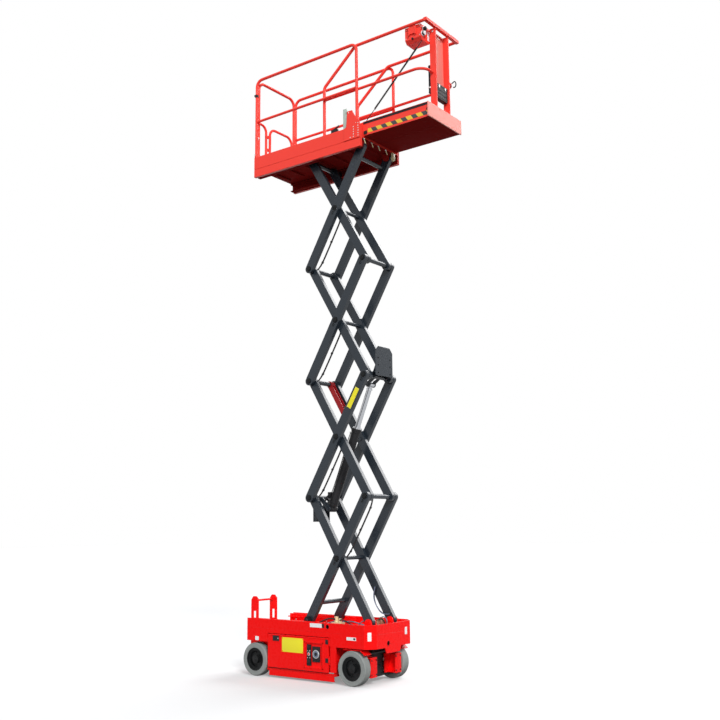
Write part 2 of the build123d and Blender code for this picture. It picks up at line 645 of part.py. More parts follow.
def fittings():
    x0 = BOX_REAR
    x1 = FRAME_X - 10
    z0 = RAIL_TOP - 200
    z1 = z0 + BOX_H
    y0 = -EXT_HALF + 19
    box = block(x0, x1, y0, y0 + 193, z0, z1)
    box = chamfer(box.edges().filter_by(Axis.X).sort_by(Axis.Z)[:2], 30)
    box += block(x0 + 60, x0 + 140, y0 - 15, y0 + 1, z1 - 90, RAIL_TOP - 2 * RAIL_R - 0.5)
    keep("control_box", box)
    # Drive handle on the lid, round controls on the front end
    y = y0 + 98
    knob = rod((x0 + 110, y, z1), (x0 + 110, y, z1 + 30), 13)
    knob += rod((x0 + 110, y, z1 + 30), (x0 + 110, y, z1 + 48), 18)
    knob += rod((x1, y0 + 60, z1 - 40), (x1 + 28, y0 + 60, z1 - 40), 20)
    knob += rod((x1, y0 + 40, z1 - 100), (x1 + 26, y0 + 40, z1 - 100), 22)
    keep("control_knobs", knob)
    f = FRAME_X + 6
    keep("manual_box", block(f, f + 54, -100, 100, FLOOR_Z + 292, FLOOR_Z + 447))
    side = -EXT_HALF + 12
    a = (x1 - 10, y0 + 38, z0 - 2.6)
    b = (EXT_TALL_X + 20, side + 15, EXT_TOE_TOP - 30)
    va = Vector(*a)
    vb = Vector(*b)
    p = va + (vb - va) * 0.08
    q = va + (vb - va) * 0.80
    cord = rod(a, b, 4) + rod(tuple(p), tuple(q), 11)
    cord += block(b[0] - 15, b[0] + 15, side, side + 27, EXT_TOE_TOP - 60, EXT_TOE_TOP - 10)
    keep("control_cord", cord)


def build():
    chassis()
    front_beam()
    scissor_base()
    ladder()
    rear_stubs()
    valve_block()
    tray(1, "left_tray")
    tray(-1, "right_tray")
    tray_fittings()
    guard(1, "left_pothole_guard")
    guard(-1, "right_pothole_guard")
    knuckle(1, "left_knuckle")
    knuckle(-1, "right_knuckle")
    tie_rod()
    wheel(FRONT_AXLE_X, 1, "front_left")
    wheel(FRONT_AXLE_X, -1, "front_right")
    wheel(REAR_AXLE_X, 1, "rear_left")
    wheel(REAR_AXLE_X, -1, "rear_right")
    for k in range(1, STAGES + 1):
        outer_arms(k)
        inner_arms(k)
    cable_guides()
    lift_cylinder()
    safety_prop()
    rollers()
    main_deck()
    platform_lugs()
    main_rails()
    gate()
    extension()
    fittings()


build()
os.makedirs("parts", exist_ok=True)
for name, shape in NODES.items():
    export_step(Pos(SHIFT_X, 0, -GROUND_Z) * shape, "parts/%s.step" % name)
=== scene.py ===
import bpy
import bmesh
import math
from mathutils import Matrix, Vector


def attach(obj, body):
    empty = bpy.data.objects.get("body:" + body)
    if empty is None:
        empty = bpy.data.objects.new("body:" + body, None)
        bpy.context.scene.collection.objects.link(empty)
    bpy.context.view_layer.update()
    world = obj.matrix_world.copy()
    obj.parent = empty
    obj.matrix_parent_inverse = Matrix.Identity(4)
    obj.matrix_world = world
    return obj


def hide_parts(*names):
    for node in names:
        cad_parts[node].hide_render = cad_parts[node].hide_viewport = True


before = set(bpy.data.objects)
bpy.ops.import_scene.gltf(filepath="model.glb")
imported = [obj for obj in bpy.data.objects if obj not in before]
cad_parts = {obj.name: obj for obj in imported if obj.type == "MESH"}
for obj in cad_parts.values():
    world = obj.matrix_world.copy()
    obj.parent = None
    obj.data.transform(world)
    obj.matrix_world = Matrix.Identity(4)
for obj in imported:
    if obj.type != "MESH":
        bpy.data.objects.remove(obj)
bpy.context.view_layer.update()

# Sizes shared with the part's source, in millimetres
SHIFT_X = -247.5
GROUND_Z = -14.0
HALF_WIDTH = 380.0
WHEEL_R = 168.5
AXLE_Z = GROUND_Z + WHEEL_R
HUB_R = 118.0
REAR_AXLE_X = -762.0
FRONT_AXLE_X = 524.0
KINGPIN_Y = 250.0
PIVOT_FRONT_X = 620.0
PIVOT_REAR_X = -114.0
CENTRE_X = 253.0
STAGES = 4
STAGE_H = 1247.0
PIVOT_Z = 582.0
FLOOR_Z = 5638.0
TOE_TOP = 5761.0
DECK_REAR = -853.0
DECK_FRONT = 686.0
POST_REAR_X = -836.0
POST_FRONT_X = 634.0
MID_RAIL = 6200.0
RAIL_R = 17.0
RAIL_Y = 347.0
GATE_POST_Y = 312.5
EXT_HALF = 307.0
EXT_BOTTOM = 5645.0
EXT_POST_X = 152.0
EXT_POST_FOOT = 5720.0
EXT_FRONT = 1527.0
FRAME_X = 1440.0
CHASSIS_REAR = -875.0
CHASSIS_FRONT = 770.0
WELL_FLOOR = 480.0
LADDER_X = -980.0
ARM_FACE = 262.0
PIN_END = 266.0

# The arms' slope
ANGLE = math.atan2(STAGE_H, PIVOT_FRONT_X - PIVOT_REAR_X)
C = math.cos(ANGLE)
S = math.sin(ANGLE)
ARM_TURN = Matrix.Rotation(-ANGLE, 3, "Y")

# How far thin plates sit in a face and stand out of it
SUNK = 0.6
PLATE = 1.4

SIDES = (-1, 1)
SIDE_NAMES = ((-1, "right"), (1, "left"))
AHEAD = (1, 0, 0)
BACK = (-1, 0, 0)
LEFT = (0, 1, 0)
RIGHT = (0, -1, 0)
UP = (0, 0, 1)
DOWN = (0, 0, -1)


def spot(x, y, z):
    """A point of the part's source, in metres of the frame."""
    return Vector(((x + SHIFT_X) / 1000, y / 1000, (z - GROUND_Z) / 1000))


def stage_z(k):
    """Height of the lower pivots of stage k, counted from one."""
    return PIVOT_Z + (k - 1) * STAGE_H


def show(data, name):
    """Put a mesh, a curve, a camera or a light in the scene."""
    obj = bpy.data.objects.new(name, data)
    bpy.context.scene.collection.objects.link(obj)
    return obj


# Nodes
def put(tree, socket, value):
    """Set a socket, or link it where the value is a node or a node's output."""
    if isinstance(value, bpy.types.Node):
        value = value.outputs[0]
    if isinstance(value, bpy.types.NodeSocket):
        tree.links.new(value, socket)
    else:
        socket.default_value = value


def add(tree, kind, *feeds, **values):
    """A new node: values go to its properties and named inputs, feeds to its inputs in order."""
    node = tree.nodes.new(kind)
    for key, value in values.items():
        if key in node.bl_rna.properties:
            setattr(node, key, value)
        else:
            put(tree, node.inputs[key.replace("_", " ")], value)
    for socket, value in zip(node.inputs, feeds):
        put(tree, socket, value)
    return node


def maths(tree, operation, *terms, clamp=False):
    return add(tree, "ShaderNodeMath", *terms, operation=operation, use_clamp=clamp).outputs[0]


def noise(tree, where, scale, detail=2.0, rough=0.5):
    node = add(tree, "ShaderNodeTexNoise", Vector=where, Scale=scale, Detail=detail, Roughness=rough)
    return node.outputs["Fac"]


def mix_colour(tree, share, a, b):
    node = add(tree, "ShaderNodeMix", data_type="RGBA")
    for socket, value in zip([s for s in node.inputs if s.enabled], (share, a, b)):
        put(tree, socket, value)
    return [s for s in node.outputs if s.enabled][0]


def ray_seen(tree):
    """One for camera, mirror and see-through rays, nought for light that bounces."""
    rays = tree.nodes.new("ShaderNodeLightPath").outputs
    seen = maths(tree, "MAXIMUM", rays["Is Camera Ray"], rays["Is Glossy Ray"])
    return maths(tree, "MAXIMUM", seen, rays["Is Transmission Ray"])


def new_tree(name, kind, inputs, outputs):
    """A node group with its sockets: the group, what it is given and what it hands on."""
    tree = bpy.data.node_groups.new(name, kind)
    for way, sockets in (("INPUT", inputs), ("OUTPUT", outputs)):
        for label, socket_kind in sockets.items():
            tree.interface.new_socket(label, in_out=way, socket_type=socket_kind)
    return tree, tree.nodes.new("NodeGroupInput").outputs, tree.nodes.new("NodeGroupOutput").inputs


# Camera, lights and floor
PHOTO_WIDTH = 720
FOCAL_PIXELS = 956.3
SENSOR = 36
ROLL = math.radians(-0.56)
EYE = (6.2095, -8.080, 1.551)
SUNS = (("key", 2.3, 14, (-0.70, 0.50, -0.50)), ("fill", 1.1, 40, (-0.35, 0.93, -0.12)),
        ("rim", 2.2, 40, (-0.13, -0.79, -0.60)))
FLOOR_REACH = 60


def set_camera(scene):
    forward = Vector((-0.5922, 0.7876, 0.1704)).normalized()
    right = Vector((0.7993, 0.6010, 0.0)).normalized()
    up = right.cross(forward)
    across = right * math.cos(ROLL) + up * math.sin(ROLL)
    upward = up * math.cos(ROLL) - right * math.sin(ROLL)
    lens = bpy.data.cameras.new("camera")
    lens.sensor_fit = "HORIZONTAL"
    lens.sensor_width = SENSOR
    lens.lens = SENSOR * FOCAL_PIXELS / PHOTO_WIDTH
    lens.clip_end = 200
    scene.camera = show(lens, "camera")
    turn = Matrix((across, upward, -forward)).transposed().to_4x4()
    scene.camera.matrix_world = Matrix.Translation(EYE) @ turn


def set_lights(scene):
    scene.world = bpy.data.worlds.new("studio")
    scene.world.use_nodes = True
    tree = scene.world.node_tree
    tree.nodes.clear()
    soft = add(tree, "ShaderNodeBackground", Color=(0.93, 0.96, 1, 1), Strength=0.5)
    white = add(tree, "ShaderNodeBackground", Color=(1, 1, 1, 1))
    mix = add(tree, "ShaderNodeMixShader", ray_seen(tree), soft, white)
    add(tree, "ShaderNodeOutputWorld", Surface=mix)
    for name, strength, angle, aim in SUNS:
        lamp = bpy.data.lights.new(name, "SUN")
        lamp.energy = strength
        lamp.angle = math.radians(angle)
        show(lamp, name).rotation_euler = Vector(aim).to_track_quat("-Z", "Y").to_euler()


def set_floor():
    mesh = bpy.data.meshes.new("floor")
    corners = [(x * FLOOR_REACH, y * FLOOR_REACH, 0) for x, y in ((-1, -1), (1, -1), (1, 1), (-1, 1))]
    mesh.from_pydata(corners, [], [(0, 1, 2, 3)])
    floor = show(mesh, "floor")
    pale = bpy.data.materials.new("pale_floor")
    pale.use_nodes = True
    tree = pale.node_tree
    shine = tree.nodes["Principled BSDF"].inputs
    shine["Roughness"].default_value = 0.9
    shine["Specular IOR Level"].default_value = 0.0
    shine["Emission Color"].default_value = (1, 1, 1, 1)
    seen = ray_seen(tree)
    put(tree, shine["Base Color"], maths(tree, "MULTIPLY_ADD", seen, 0.50, 0.12))
    put(tree, shine["Emission Strength"], maths(tree, "MULTIPLY_ADD", seen, 0.26, 0.0))
    mesh.materials.append(pale)


bpy.context.scene.view_settings.view_transform = "Standard"
set_camera(bpy.context.scene)
set_lights(bpy.context.scene)
set_floor()

# Finishes
FLOAT = "NodeSocketFloat"
COLOUR = "NodeSocketColor"
LOOK = {"Color": COLOUR, "Roughness": FLOAT, "Normal": "NodeSocketVector"}
ENAMEL_INPUTS = ("Mottle", "Wear and highlight", "Edge", "Peel", "Gloss", "Dust")
GRAIN_INPUTS = ("Drift", "Fine", "Depth", "Gloss", "Edge", "Dust")
BEVEL_SAMPLES = 4
DUST_HEIGHT = 0.45


def rounded(tree, end, given, grain, depth, distance):
    """The normal of a finish: edges rounded, with a fine grain on top. Hands on the rounding alone."""
    soft = add(tree, "ShaderNodeBevel", samples=BEVEL_SAMPLES, Radius=given["Edge"])
    bump = add(tree, "ShaderNodeBump", Distance=distance, Strength=given[depth], Height=grain, Normal=soft)
    put(tree, end["Normal"], bump)
    return soft


def shaded(tree, colour, drift, amount):
    """A colour whose brightness drifts."""
    value = maths(tree, "ADD", maths(tree, "MULTIPLY", drift, amount), 1.0)
    return add(tree, "ShaderNodeHueSaturation", Color=colour, Value=value)


def enamel_group():
    """Sprayed paint: slow mottling, rounded edges lightened in chips, partly as wear and partly as a painted
    highlight, dust that settles low, a fine orange peel.
    """
    inputs = {"Paint": COLOUR, "Bare": COLOUR, **dict.fromkeys(ENAMEL_INPUTS, FLOAT)}
    t, given, end = new_tree("enamel", "ShaderNodeTree", inputs, LOOK)
    where = add(t, "ShaderNodeTexCoord").outputs["Object"]
    paint = shaded(t, given["Paint"], maths(t, "SUBTRACT", noise(t, where, 2.3, 4), 0.5), given["Mottle"])
    soft = rounded(t, end, given, noise(t, where, 420), "Peel", 0.0006)
    flat = add(t, "ShaderNodeNewGeometry").outputs["Normal"]
    level = add(t, "ShaderNodeVectorMath", soft, flat, operation="DOT_PRODUCT").outputs["Value"]
    # The edge mask turns edges towards the bare tone: partly wear, partly a painted highlight along the edges
    rim = maths(t, "MULTIPLY", maths(t, "SUBTRACT", 1.0, level), 3.5, clamp=True)
    chips = maths(t, "SUBTRACT", noise(t, where, 46, 5, 0.65), 0.44)
    chips = maths(t, "MULTIPLY", chips, 6.0, clamp=True)
    wear_and_highlight = maths(t, "MULTIPLY", maths(t, "MULTIPLY", rim, chips), given["Wear and highlight"], clamp=True)
    height = add(t, "ShaderNodeSeparateXYZ", where).outputs["Z"]
    low = maths(t, "SUBTRACT", 1.0, maths(t, "DIVIDE", height, DUST_HEIGHT), clamp=True)
    film = maths(t, "MULTIPLY", noise(t, where, 9, 5, 0.6), maths(t, "ADD", low, 0.35))
    film = maths(t, "MULTIPLY", film, given["Dust"], clamp=True)
    painted = mix_colour(t, wear_and_highlight, paint, given["Bare"])
    put(t, end["Color"], mix_colour(t, film, painted, (0.36, 0.33, 0.29, 1)))
    fine = maths(t, "MULTIPLY", maths(t, "SUBTRACT", noise(t, where, 31, 4), 0.5), 0.22)
    rough = maths(t, "ADD", given["Gloss"], fine)
    put(t, end["Roughness"], maths(t, "ADD", rough, maths(t, "MULTIPLY", film, 0.5), clamp=True))
    return t


def grain_group():
    """Moulded plastic, rubber and bare metal: a tone that drifts, a fine grain and rounded edges."""
    inputs = {"Tone": COLOUR, **dict.fromkeys(GRAIN_INPUTS, FLOAT)}
    t, given, end = new_tree("grain", "ShaderNodeTree", inputs, LOOK)
    where = add(t, "ShaderNodeTexCoord").outputs["Object"]
    slow = maths(t, "SUBTRACT", noise(t, where, 7, 5, 0.6), 0.5)
    tone = shaded(t, given["Tone"], slow, given["Drift"])
    film = maths(t, "MULTIPLY", noise(t, where, 14, 6, 0.65), given["Dust"], clamp=True)
    put(t, end["Color"], mix_colour(t, film, tone, (0.34, 0.32, 0.29, 1)))
    put(t, end["Roughness"], maths(t, "ADD", maths(t, "MULTIPLY", slow, 0.25), given["Gloss"], clamp=True))
    rounded(t, end, given, noise(t, where, given["Fine"], 3.0), "Depth", 0.001)
    return t


ENAMEL = enamel_group()
GRAIN = grain_group()
finish = {}

# Paint, the six values of ENAMEL_INPUTS, then coat, level of shine and bare tone where they differ
ENAMELS = {
    "red_enamel": ((0.93, 0.003, 0.003), 0.06, 0.22, 0.004, 0.12, 0.28, 0.02, {"level": 0.08}),
    # painted light: a paler, more orange copy of the red enamel for the platform and rails, standing in for
    # the light that falls on them from above and ahead
    "rail_red": ((0.91, 0.060, 0.042), 0.06, 0.03, 0.003, 0.03, 0.33, 0.01, {"level": 0.12}),
    # painted sheen: a pale coral for faces that look ahead, standing in for the reflection of bright light
    # from the front
    "pale_coral": ((0.86, 0.27, 0.22), 0.05, 0.12, 0.003, 0.10, 0.33, 0.01, {"level": 0.2}),
    # painted shade: a dark, dull red for the undersides and the lugs, standing in for the shade under the
    # deck
    "under_red": ((0.30, 0.012, 0.010), 0.2, 0.1, 0.003, 0.10, 0.7, 0.0, {"coat": 0.0, "level": 0.02}),
    # arm_grey's light bare tone gives the arms' edges a painted highlight as well as wear
    "arm_grey": ((0.018, 0.025, 0.034), 0.25, 0.35, 0.007, 0.10, 0.27, 0.02,
                 {"coat": 0.12, "level": 0.3, "bare": (0.16, 0.16, 0.17)}),
    "hub_black": ((0.006, 0.007, 0.008), 0.2, 0.1, 0.002, 0.2, 0.45, 0.02, {"coat": 0.0, "level": 0.15}),
    "cream_enamel": ((0.70, 0.62, 0.36), 0.15, 0.3, 0.003, 0.1, 0.35, 0.1, {}),
    "pale_green": ((0.42, 0.50, 0.44), 0.1, 0.2, 0.002, 0.1, 0.4, 0.0, {}),
    "yellow_plate": ((0.84, 0.74, 0.012), 0.06, 0.1, 0.001, 0.05, 0.4, 0.06, {}),
    "white_plate": ((0.82, 0.82, 0.82), 0.05, 0.05, 0.001, 0.03, 0.4, 0.05, {}),
    "blue_plate": ((0.14, 0.18, 0.27), 0.1, 0.1, 0.001, 0.03, 0.4, 0.02, {}),
    "prop_red": ((0.36, 0.012, 0.016), 0.1, 0.02, 0.002, 0.1, 0.4, 0.03, {"level": 0.2}),
    "brown_enamel": ((0.26, 0.10, 0.05), 0.2, 0.2, 0.002, 0.1, 0.4, 0.05, {"level": 0.3}),
}
# Tone, the six values of GRAIN_INPUTS, then how metallic it is and the level of shine
GRAINS = {
    "tyre_grey": ((0.255, 0.275, 0.268), 0.35, 210.0, 0.35, 0.82, 0.004, 0.30, 0.0, 0.15),
    "black_plastic": ((0.014, 0.014, 0.016), 0.3, 900.0, 0.15, 0.48, 0.002, 0.03, 0.0, 0.15),
    "hose_rubber": ((0.016, 0.016, 0.018), 0.3, 600.0, 0.25, 0.55, 0.001, 0.06, 0.0, 0.15),
    "zinc": ((0.60, 0.61, 0.60), 0.25, 320.0, 0.08, 0.36, 0.001, 0.02, 1.0, 0.5),
    "machined": ((0.52, 0.53, 0.55), 0.2, 500.0, 0.05, 0.28, 0.001, 0.02, 1.0, 0.5),
    "chrome": ((0.44, 0.45, 0.47), 0.05, 700.0, 0.01, 0.10, 0.001, 0.0, 1.0, 0.5),
    "signal_red": ((0.70, 0.010, 0.010), 0.1, 500.0, 0.04, 0.3, 0.002, 0.0, 0.0, 0.5),
    "brass": ((0.62, 0.36, 0.14), 0.2, 400.0, 0.05, 0.34, 0.001, 0.0, 1.0, 0.5),
    "hazard_bands": ((0.8, 0.5, 0.03), 0.12, 500.0, 0.03, 0.42, 0.001, 0.03, 0.0, 0.5),
}
BARE_STEEL = (0.32, 0.30, 0.28)


def coated(name, group, values, **shader):
    """A finish: a shared group with its values, and the rest on the shader itself."""
    mat = bpy.data.materials.new(name)
    mat.use_nodes = True
    tree = mat.node_tree
    skin = tree.nodes["Principled BSDF"].inputs
    made = add(tree, "ShaderNodeGroup", node_tree=group, **values).outputs
    for label, socket in (("Color", "Base Color"), ("Roughness", "Roughness"), ("Normal", "Normal")):
        put(tree, skin[socket], made[label])
    for key, value in shader.items():
        skin[key.replace("_", " ")].default_value = value
    finish[name] = mat


def make_finishes():
    for name, (paint, *levels, rest) in ENAMELS.items():
        values = dict(zip(ENAMEL_INPUTS, levels), Paint=(*paint, 1), Bare=(*rest.get("bare", BARE_STEEL), 1))
        coated(name, ENAMEL, values, Coat_Weight=rest.get("coat", 0.05), Coat_Roughness=0.12,
               Specular_IOR_Level=rest.get("level", 0.5))
    for name, (tone, *levels, metal, level) in GRAINS.items():
        values = dict(zip(GRAIN_INPUTS, levels), Tone=(*tone, 1))
        coated(name, GRAIN, values, Metallic=metal, Specular_IOR_Level=level)


def stripe_bands():
    """Slanted yellow and black bands on the roll-out deck's edge, on the side's own X and Z."""
    tree = finish["hazard_bands"].node_tree
    made = [n for n in tree.nodes if n.type == "GROUP"][0]
    axes = add(tree, "ShaderNodeSeparateXYZ", add(tree, "ShaderNodeTexCoord").outputs["Object"]).outputs
    run = maths(tree, "ADD", axes["X"], maths(tree, "MULTIPLY", axes["Z"], 0.7))
    step = maths(tree, "FRACT", maths(tree, "DIVIDE", run, 0.128))
    band = maths(tree, "GREATER_THAN", step, 0.52)
    put(tree, made.inputs["Tone"], mix_colour(tree, band, (0.80, 0.50, 0.03, 1), (0.035, 0.035, 0.035, 1)))


make_finishes()
stripe_bands()

# Finishes of the solids, by the start of their names; the longest start wins, and the rest are red
NODE_STARTS = {
    "tyre_grey": "tyre",
    "hub_black": "hub front_beam base_rollers platform_rollers tie_rod",
    "arm_grey": "outer inner upper_cable lower_cable",
    # The lugs under the deck take the dark red of painted shade
    "under_red": "platform_lugs",
    "black_plastic": "lift_barrel battery ground control_knobs manual",
    "chrome": "lift_rod",
    # The roll-out deck's toe takes the pale coral of painted sheen
    "pale_coral": "extension_toe",
    "hose_rubber": "control_cord",
    "machined": "rear_axle",
    "cream_enamel": "valve",
    # The platform's parts take the paler red of painted light
    "rail_red": "main side_rails rear_rails lock entry_gate extension front_frame control_box",
    "prop_red": "safety",
}


def dress_solids():
    skins = {start: skin for skin, starts in NODE_STARTS.items() for start in starts.split()}
    for name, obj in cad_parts.items():
        chosen = "red_enamel"
        for start in sorted(skins, key=len):
            if name.startswith(start):
                chosen = skins[start]
        for slot in obj.material_slots:
            slot.material = finish[chosen]
        if not obj.material_slots:
            obj.data.materials.append(finish[chosen])


dress_solids()


# Making pieces
def circle(centre, axis, r, count):
    """Points round a circle, in order."""
    axis = Vector(axis).normalized()
    side = axis.orthogonal().normalized()
    other = axis.cross(side)
    turns = [2 * math.pi * i / count for i in range(count)]
    return [Vector(centre) + (side * math.cos(t) + other * math.sin(t)) * r for t in turns]


class Piece:
    """A mesh put together in millimetres of the part's source and kept on one body."""

    def __init__(self, name, body, *finishes):
        self.name = name
        self.body = body
        self.finishes = finishes
        self.bm = bmesh.new()
        self.slot = 0

    def use(self, name):
        self.slot = self.finishes.index(name)
        return self

    def face(self, verts):
        face = self.bm.faces.new(verts)
        face.material_index = self.slot
        return face

    def quads(self, rows):
        """Faces between closed rows of points."""
        made = []
        for low, high in zip(rows, rows[1:]):
            for i in range(len(low)):
                j = (i + 1) % len(low)
                made.append(self.face((low[i], low[j], high[j], high[i])))
        return made

    def soften(self, edges, soft):
        cut = bmesh.ops.bevel(self.bm, geom=list(edges), offset=soft, segments=2, affect="EDGES", profile=0.7)
        return cut["faces"]

    def box(self, x0, x1, y0, y1, z0, z1, soft=0.0, turn=None, about=None):
        """A block between limits, given either way round."""
        spans = ((x0, x1), (y0, y1), (z0, z1))
        middle = [(p + q) / 2 for p, q in spans]
        made = bmesh.ops.create_cube(self.bm, size=1.0)["verts"]
        bmesh.ops.scale(self.bm, vec=[abs(q - p) for p, q in spans], verts=made)
        bmesh.ops.translate(self.bm, vec=middle, verts=made)
        if soft:
            cut = self.soften({e for v in made for e in v.link_edges}, soft)
            made = list({v for f in cut for v in f.verts} | {v for v in made if v.is_valid})
        if turn:
            bmesh.ops.rotate(self.bm, cent=about or middle, matrix=turn, verts=made)
        for face in {f for v in made for f in v.link_faces}:
            face.material_index = self.slot
        return self

    def block(self, middle, size, soft=0.0, turn=None):
        """A box by its middle and its size."""
        return self.box(*[c + way * d / 2 for c, d in zip(middle, size) for way in SIDES], soft, turn)

    def lathe(self, a, axis, profile, sides=24):
        """Turned shape from a on along the axis: profile is (distance along, radius) pairs."""
        axis = Vector(axis).normalized()
        rings = []
        for reach, r in profile:
            rings.append([self.bm.verts.new(p) for p in circle(Vector(a) + axis * reach, axis, r, sides)])
        self.quads(rings)
        self.face(rings[0][::-1])
        self.face(rings[-1])
        return self

    def rod(self, a, b, r, chamfer=1.0, sides=20):
        axis = Vector(b) - Vector(a)
        length = axis.length
        c = min(chamfer, r * 0.5, length * 0.4)
        return self.lathe(a, axis, [(0, r - c), (c, r), (length - c, r), (length, r - c)], sides)

    def ring(self, a, b, r_in, r_out, sides=32):
        axis = Vector(b) - Vector(a)
        rows = []
        for centre, r in ((a, r_in), (a, r_out), (b, r_out), (b, r_in)):
            rows.append([self.bm.verts.new(p) for p in circle(centre, axis, r, sides)])
        self.quads(rows + rows[:1])
        return self

    def sheet(self, outline, thick, origin, u, v, soft):
        """A flat plate from an outline in the plane of u and v, with its thickness on the far side."""
        u = Vector(u)
        v = Vector(v)
        n = u.cross(v).normalized() * thick
        low = [self.bm.verts.new(Vector(origin) + u * p + v * q) for p, q in outline]
        high = [self.bm.verts.new(vert.co + n) for vert in low]
        faces = [self.face(low[::-1]), self.face(high)] + self.quads([low, high])
        for face in self.soften({e for f in faces for e in f.edges}, soft):
            face.material_index = self.slot
        return self

    def keep(self, smooth=True):
        bmesh.ops.recalc_face_normals(self.bm, faces=self.bm.faces)
        for vert in self.bm.verts:
            vert.co = spot(*vert.co)
        mesh = bpy.data.meshes.new(self.name)
        self.bm.to_mesh(mesh)
        self.bm.free()
        settle(self.name, mesh, self.body, self.finishes, smooth)


def settle(name, mesh, body, skins, smooth=True):
    """Give a mesh its finishes and keep it on its body."""
    for skin in skins:
        mesh.materials.append(finish[skin])
    obj = show(mesh, name)
    if smooth:
        mesh.shade_smooth()
        mesh.set_sharp_from_angle(angle=math.radians(35))
    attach(obj, body)


def line(name, points, r=0.0, steps=8, rings=3):
    """A smooth NURBS line along points in metres, with a round section where r, in millimetres, is given."""
    curve = bpy.data.curves.new(name, "CURVE")
    curve.dimensions = "3D"
    curve.bevel_depth = r / 1000
    curve.bevel_resolution = rings
    curve.use_fill_caps = True
    curve.resolution_u = steps
    spline = curve.splines.new("NURBS")
    spline.points.add(len(points) - 1)
    for target, point in zip(spline.points, points):
        target.co = (*point, 1)
    spline.order_u = 3
    spline.use_endpoint_u = True
    return curve


def bake(obj, name):
    """The finished mesh of a curve or of a mesh with a Geometry Nodes tree; the object itself goes."""
    graph = bpy.context.evaluated_depsgraph_get()
    mesh = bpy.data.meshes.new_from_object(obj.evaluated_get(graph))
    mesh.name = name
    mesh.materials.clear()
    data = obj.data
    bpy.data.objects.remove(obj)
    if isinstance(data, bpy.types.Curve):
        bpy.data.curves.remove(data)
    else:
        bpy.data.meshes.remove(data)
    return mesh


def hose(name, body, points, r, skin="hose_rubber"):
    curve = line(name, [spot(*p) for p in points], r)
    settle(name, bake(show(curve, name), name), body, [skin])


# Geometry Nodes for what repeats
GEOMETRY = {"Geometry": "NodeSocketGeometry"}
WHOLE = "NodeSocketInt"
LOZENGE = (0.011, 0.0035, 0.0016)
LOZENGE_PITCH = 32


def shape_tree(name, labels, **more):
    inputs = {**GEOMETRY, **dict.fromkeys(labels, FLOAT), **more, "Finish": "NodeSocketMaterial"}
    tree, given, end = new_tree(name, "GeometryNodeTree", inputs, GEOMETRY)
    tree.is_modifier = True
    return tree, given, end


def close_tree(tree, given, end, shape):
    real = add(tree, "GeometryNodeRealizeInstances", shape)
    put(tree, end[0], add(tree, "GeometryNodeSetMaterial", Geometry=real, Material=given["Finish"]))
    return tree


def stack_tree(name, steps):
    """Cones on one another at each point: sides, then low and high radius, height and base as shares."""
    tree, given, end = shape_tree(name, ("Radius", "Height"))

    def share(label, part):
        return maths(tree, "MULTIPLY", given[label], part)

    join = tree.nodes.new("GeometryNodeJoinGeometry")
    for sides, low, high, tall, base in steps:
        cone = add(tree, "GeometryNodeMeshCone", Vertices=sides, Radius_Bottom=share("Radius", low),
                   Radius_Top=share("Radius", high), Depth=share("Height", tall))
        rise = add(tree, "ShaderNodeCombineXYZ", Z=share("Height", base))
        put(tree, join.inputs[0], add(tree, "GeometryNodeTransform", Geometry=cone, Translation=rise))
    aim = add(tree, "GeometryNodeInputNamedAttribute", data_type="FLOAT_VECTOR", Name="aim")
    turn = add(tree, "FunctionNodeAlignRotationToVector", axis="Z", Vector=aim.outputs["Attribute"])
    place = add(tree, "GeometryNodeInstanceOnPoints", Points=given["Geometry"], Instance=join, Rotation=turn)
    return close_tree(tree, given, end, place)


def weld_tree():
    """Overlapping beads along a path."""
    tree, given, end = shape_tree("weld_beads", ("Radius", "Pitch"))
    path = add(tree, "GeometryNodeMeshToCurve", given["Geometry"])
    even = add(tree, "GeometryNodeResampleCurve", mode="LENGTH", Curve=path, Length=given["Pitch"])
    bead = add(tree, "GeometryNodeMeshIcoSphere", Radius=given["Radius"])
    place = add(tree, "GeometryNodeInstanceOnPoints", Points=even, Instance=bead)
    return close_tree(tree, given, end, place)


def tread_tree():
    """Raised lozenges in rows that turn left and right by turns."""
    tree, given, end = shape_tree("tread_plate", ("Length", "Width"), Rows=WHOLE, Columns=WHOLE)
    extent = [given[label] for label in ("Length", "Width", "Rows", "Columns")]
    grid = add(tree, "GeometryNodeMeshGrid", *extent)
    lump = add(tree, "GeometryNodeMeshUVSphere", Segments=8, Rings=4, Radius=1.0)
    index = tree.nodes.new("GeometryNodeInputIndex")
    row = maths(tree, "FLOOR", maths(tree, "DIVIDE", index, given["Columns"]))
    odd = maths(tree, "MODULO", maths(tree, "ADD", index, row), 2.0)
    swing = maths(tree, "MULTIPLY", maths(tree, "SUBTRACT", odd, 0.5), math.pi / 2)
    spin = add(tree, "FunctionNodeEulerToRotation", add(tree, "ShaderNodeCombineXYZ", Z=swing))
    place = add(tree, "GeometryNodeInstanceOnPoints", Points=grid, Instance=lump, Rotation=spin,
                Scale=LOZENGE)
    both = add(tree, "GeometryNodeJoinGeometry", place)
    put(tree, both.inputs[0], given["Geometry"])
    return close_tree(tree, given, end, both)


BOLTS = stack_tree("bolt_heads", [(16, 1.25, 1.25, 0.3, 0.0), (6, 0.86, 0.86, 0.7, 0.3),
                                  (6, 0.86, 0.7, 0.12, 1.0)])
RIVETS = stack_tree("rivets", [(12, 1.0, 0.9, 0.5, 0.0), (12, 0.9, 0.45, 0.5, 0.5)])
CAPS = stack_tree("pin_caps", [(28, 1.35, 1.35, 0.30, 0.0), (28, 1.0, 1.0, 0.55, 0.30),
                               (28, 1.0, 0.82, 0.15, 0.85), (12, 0.16, 0.16, 0.12, 1.0)])
WELDS = weld_tree()
TREAD = tread_tree()


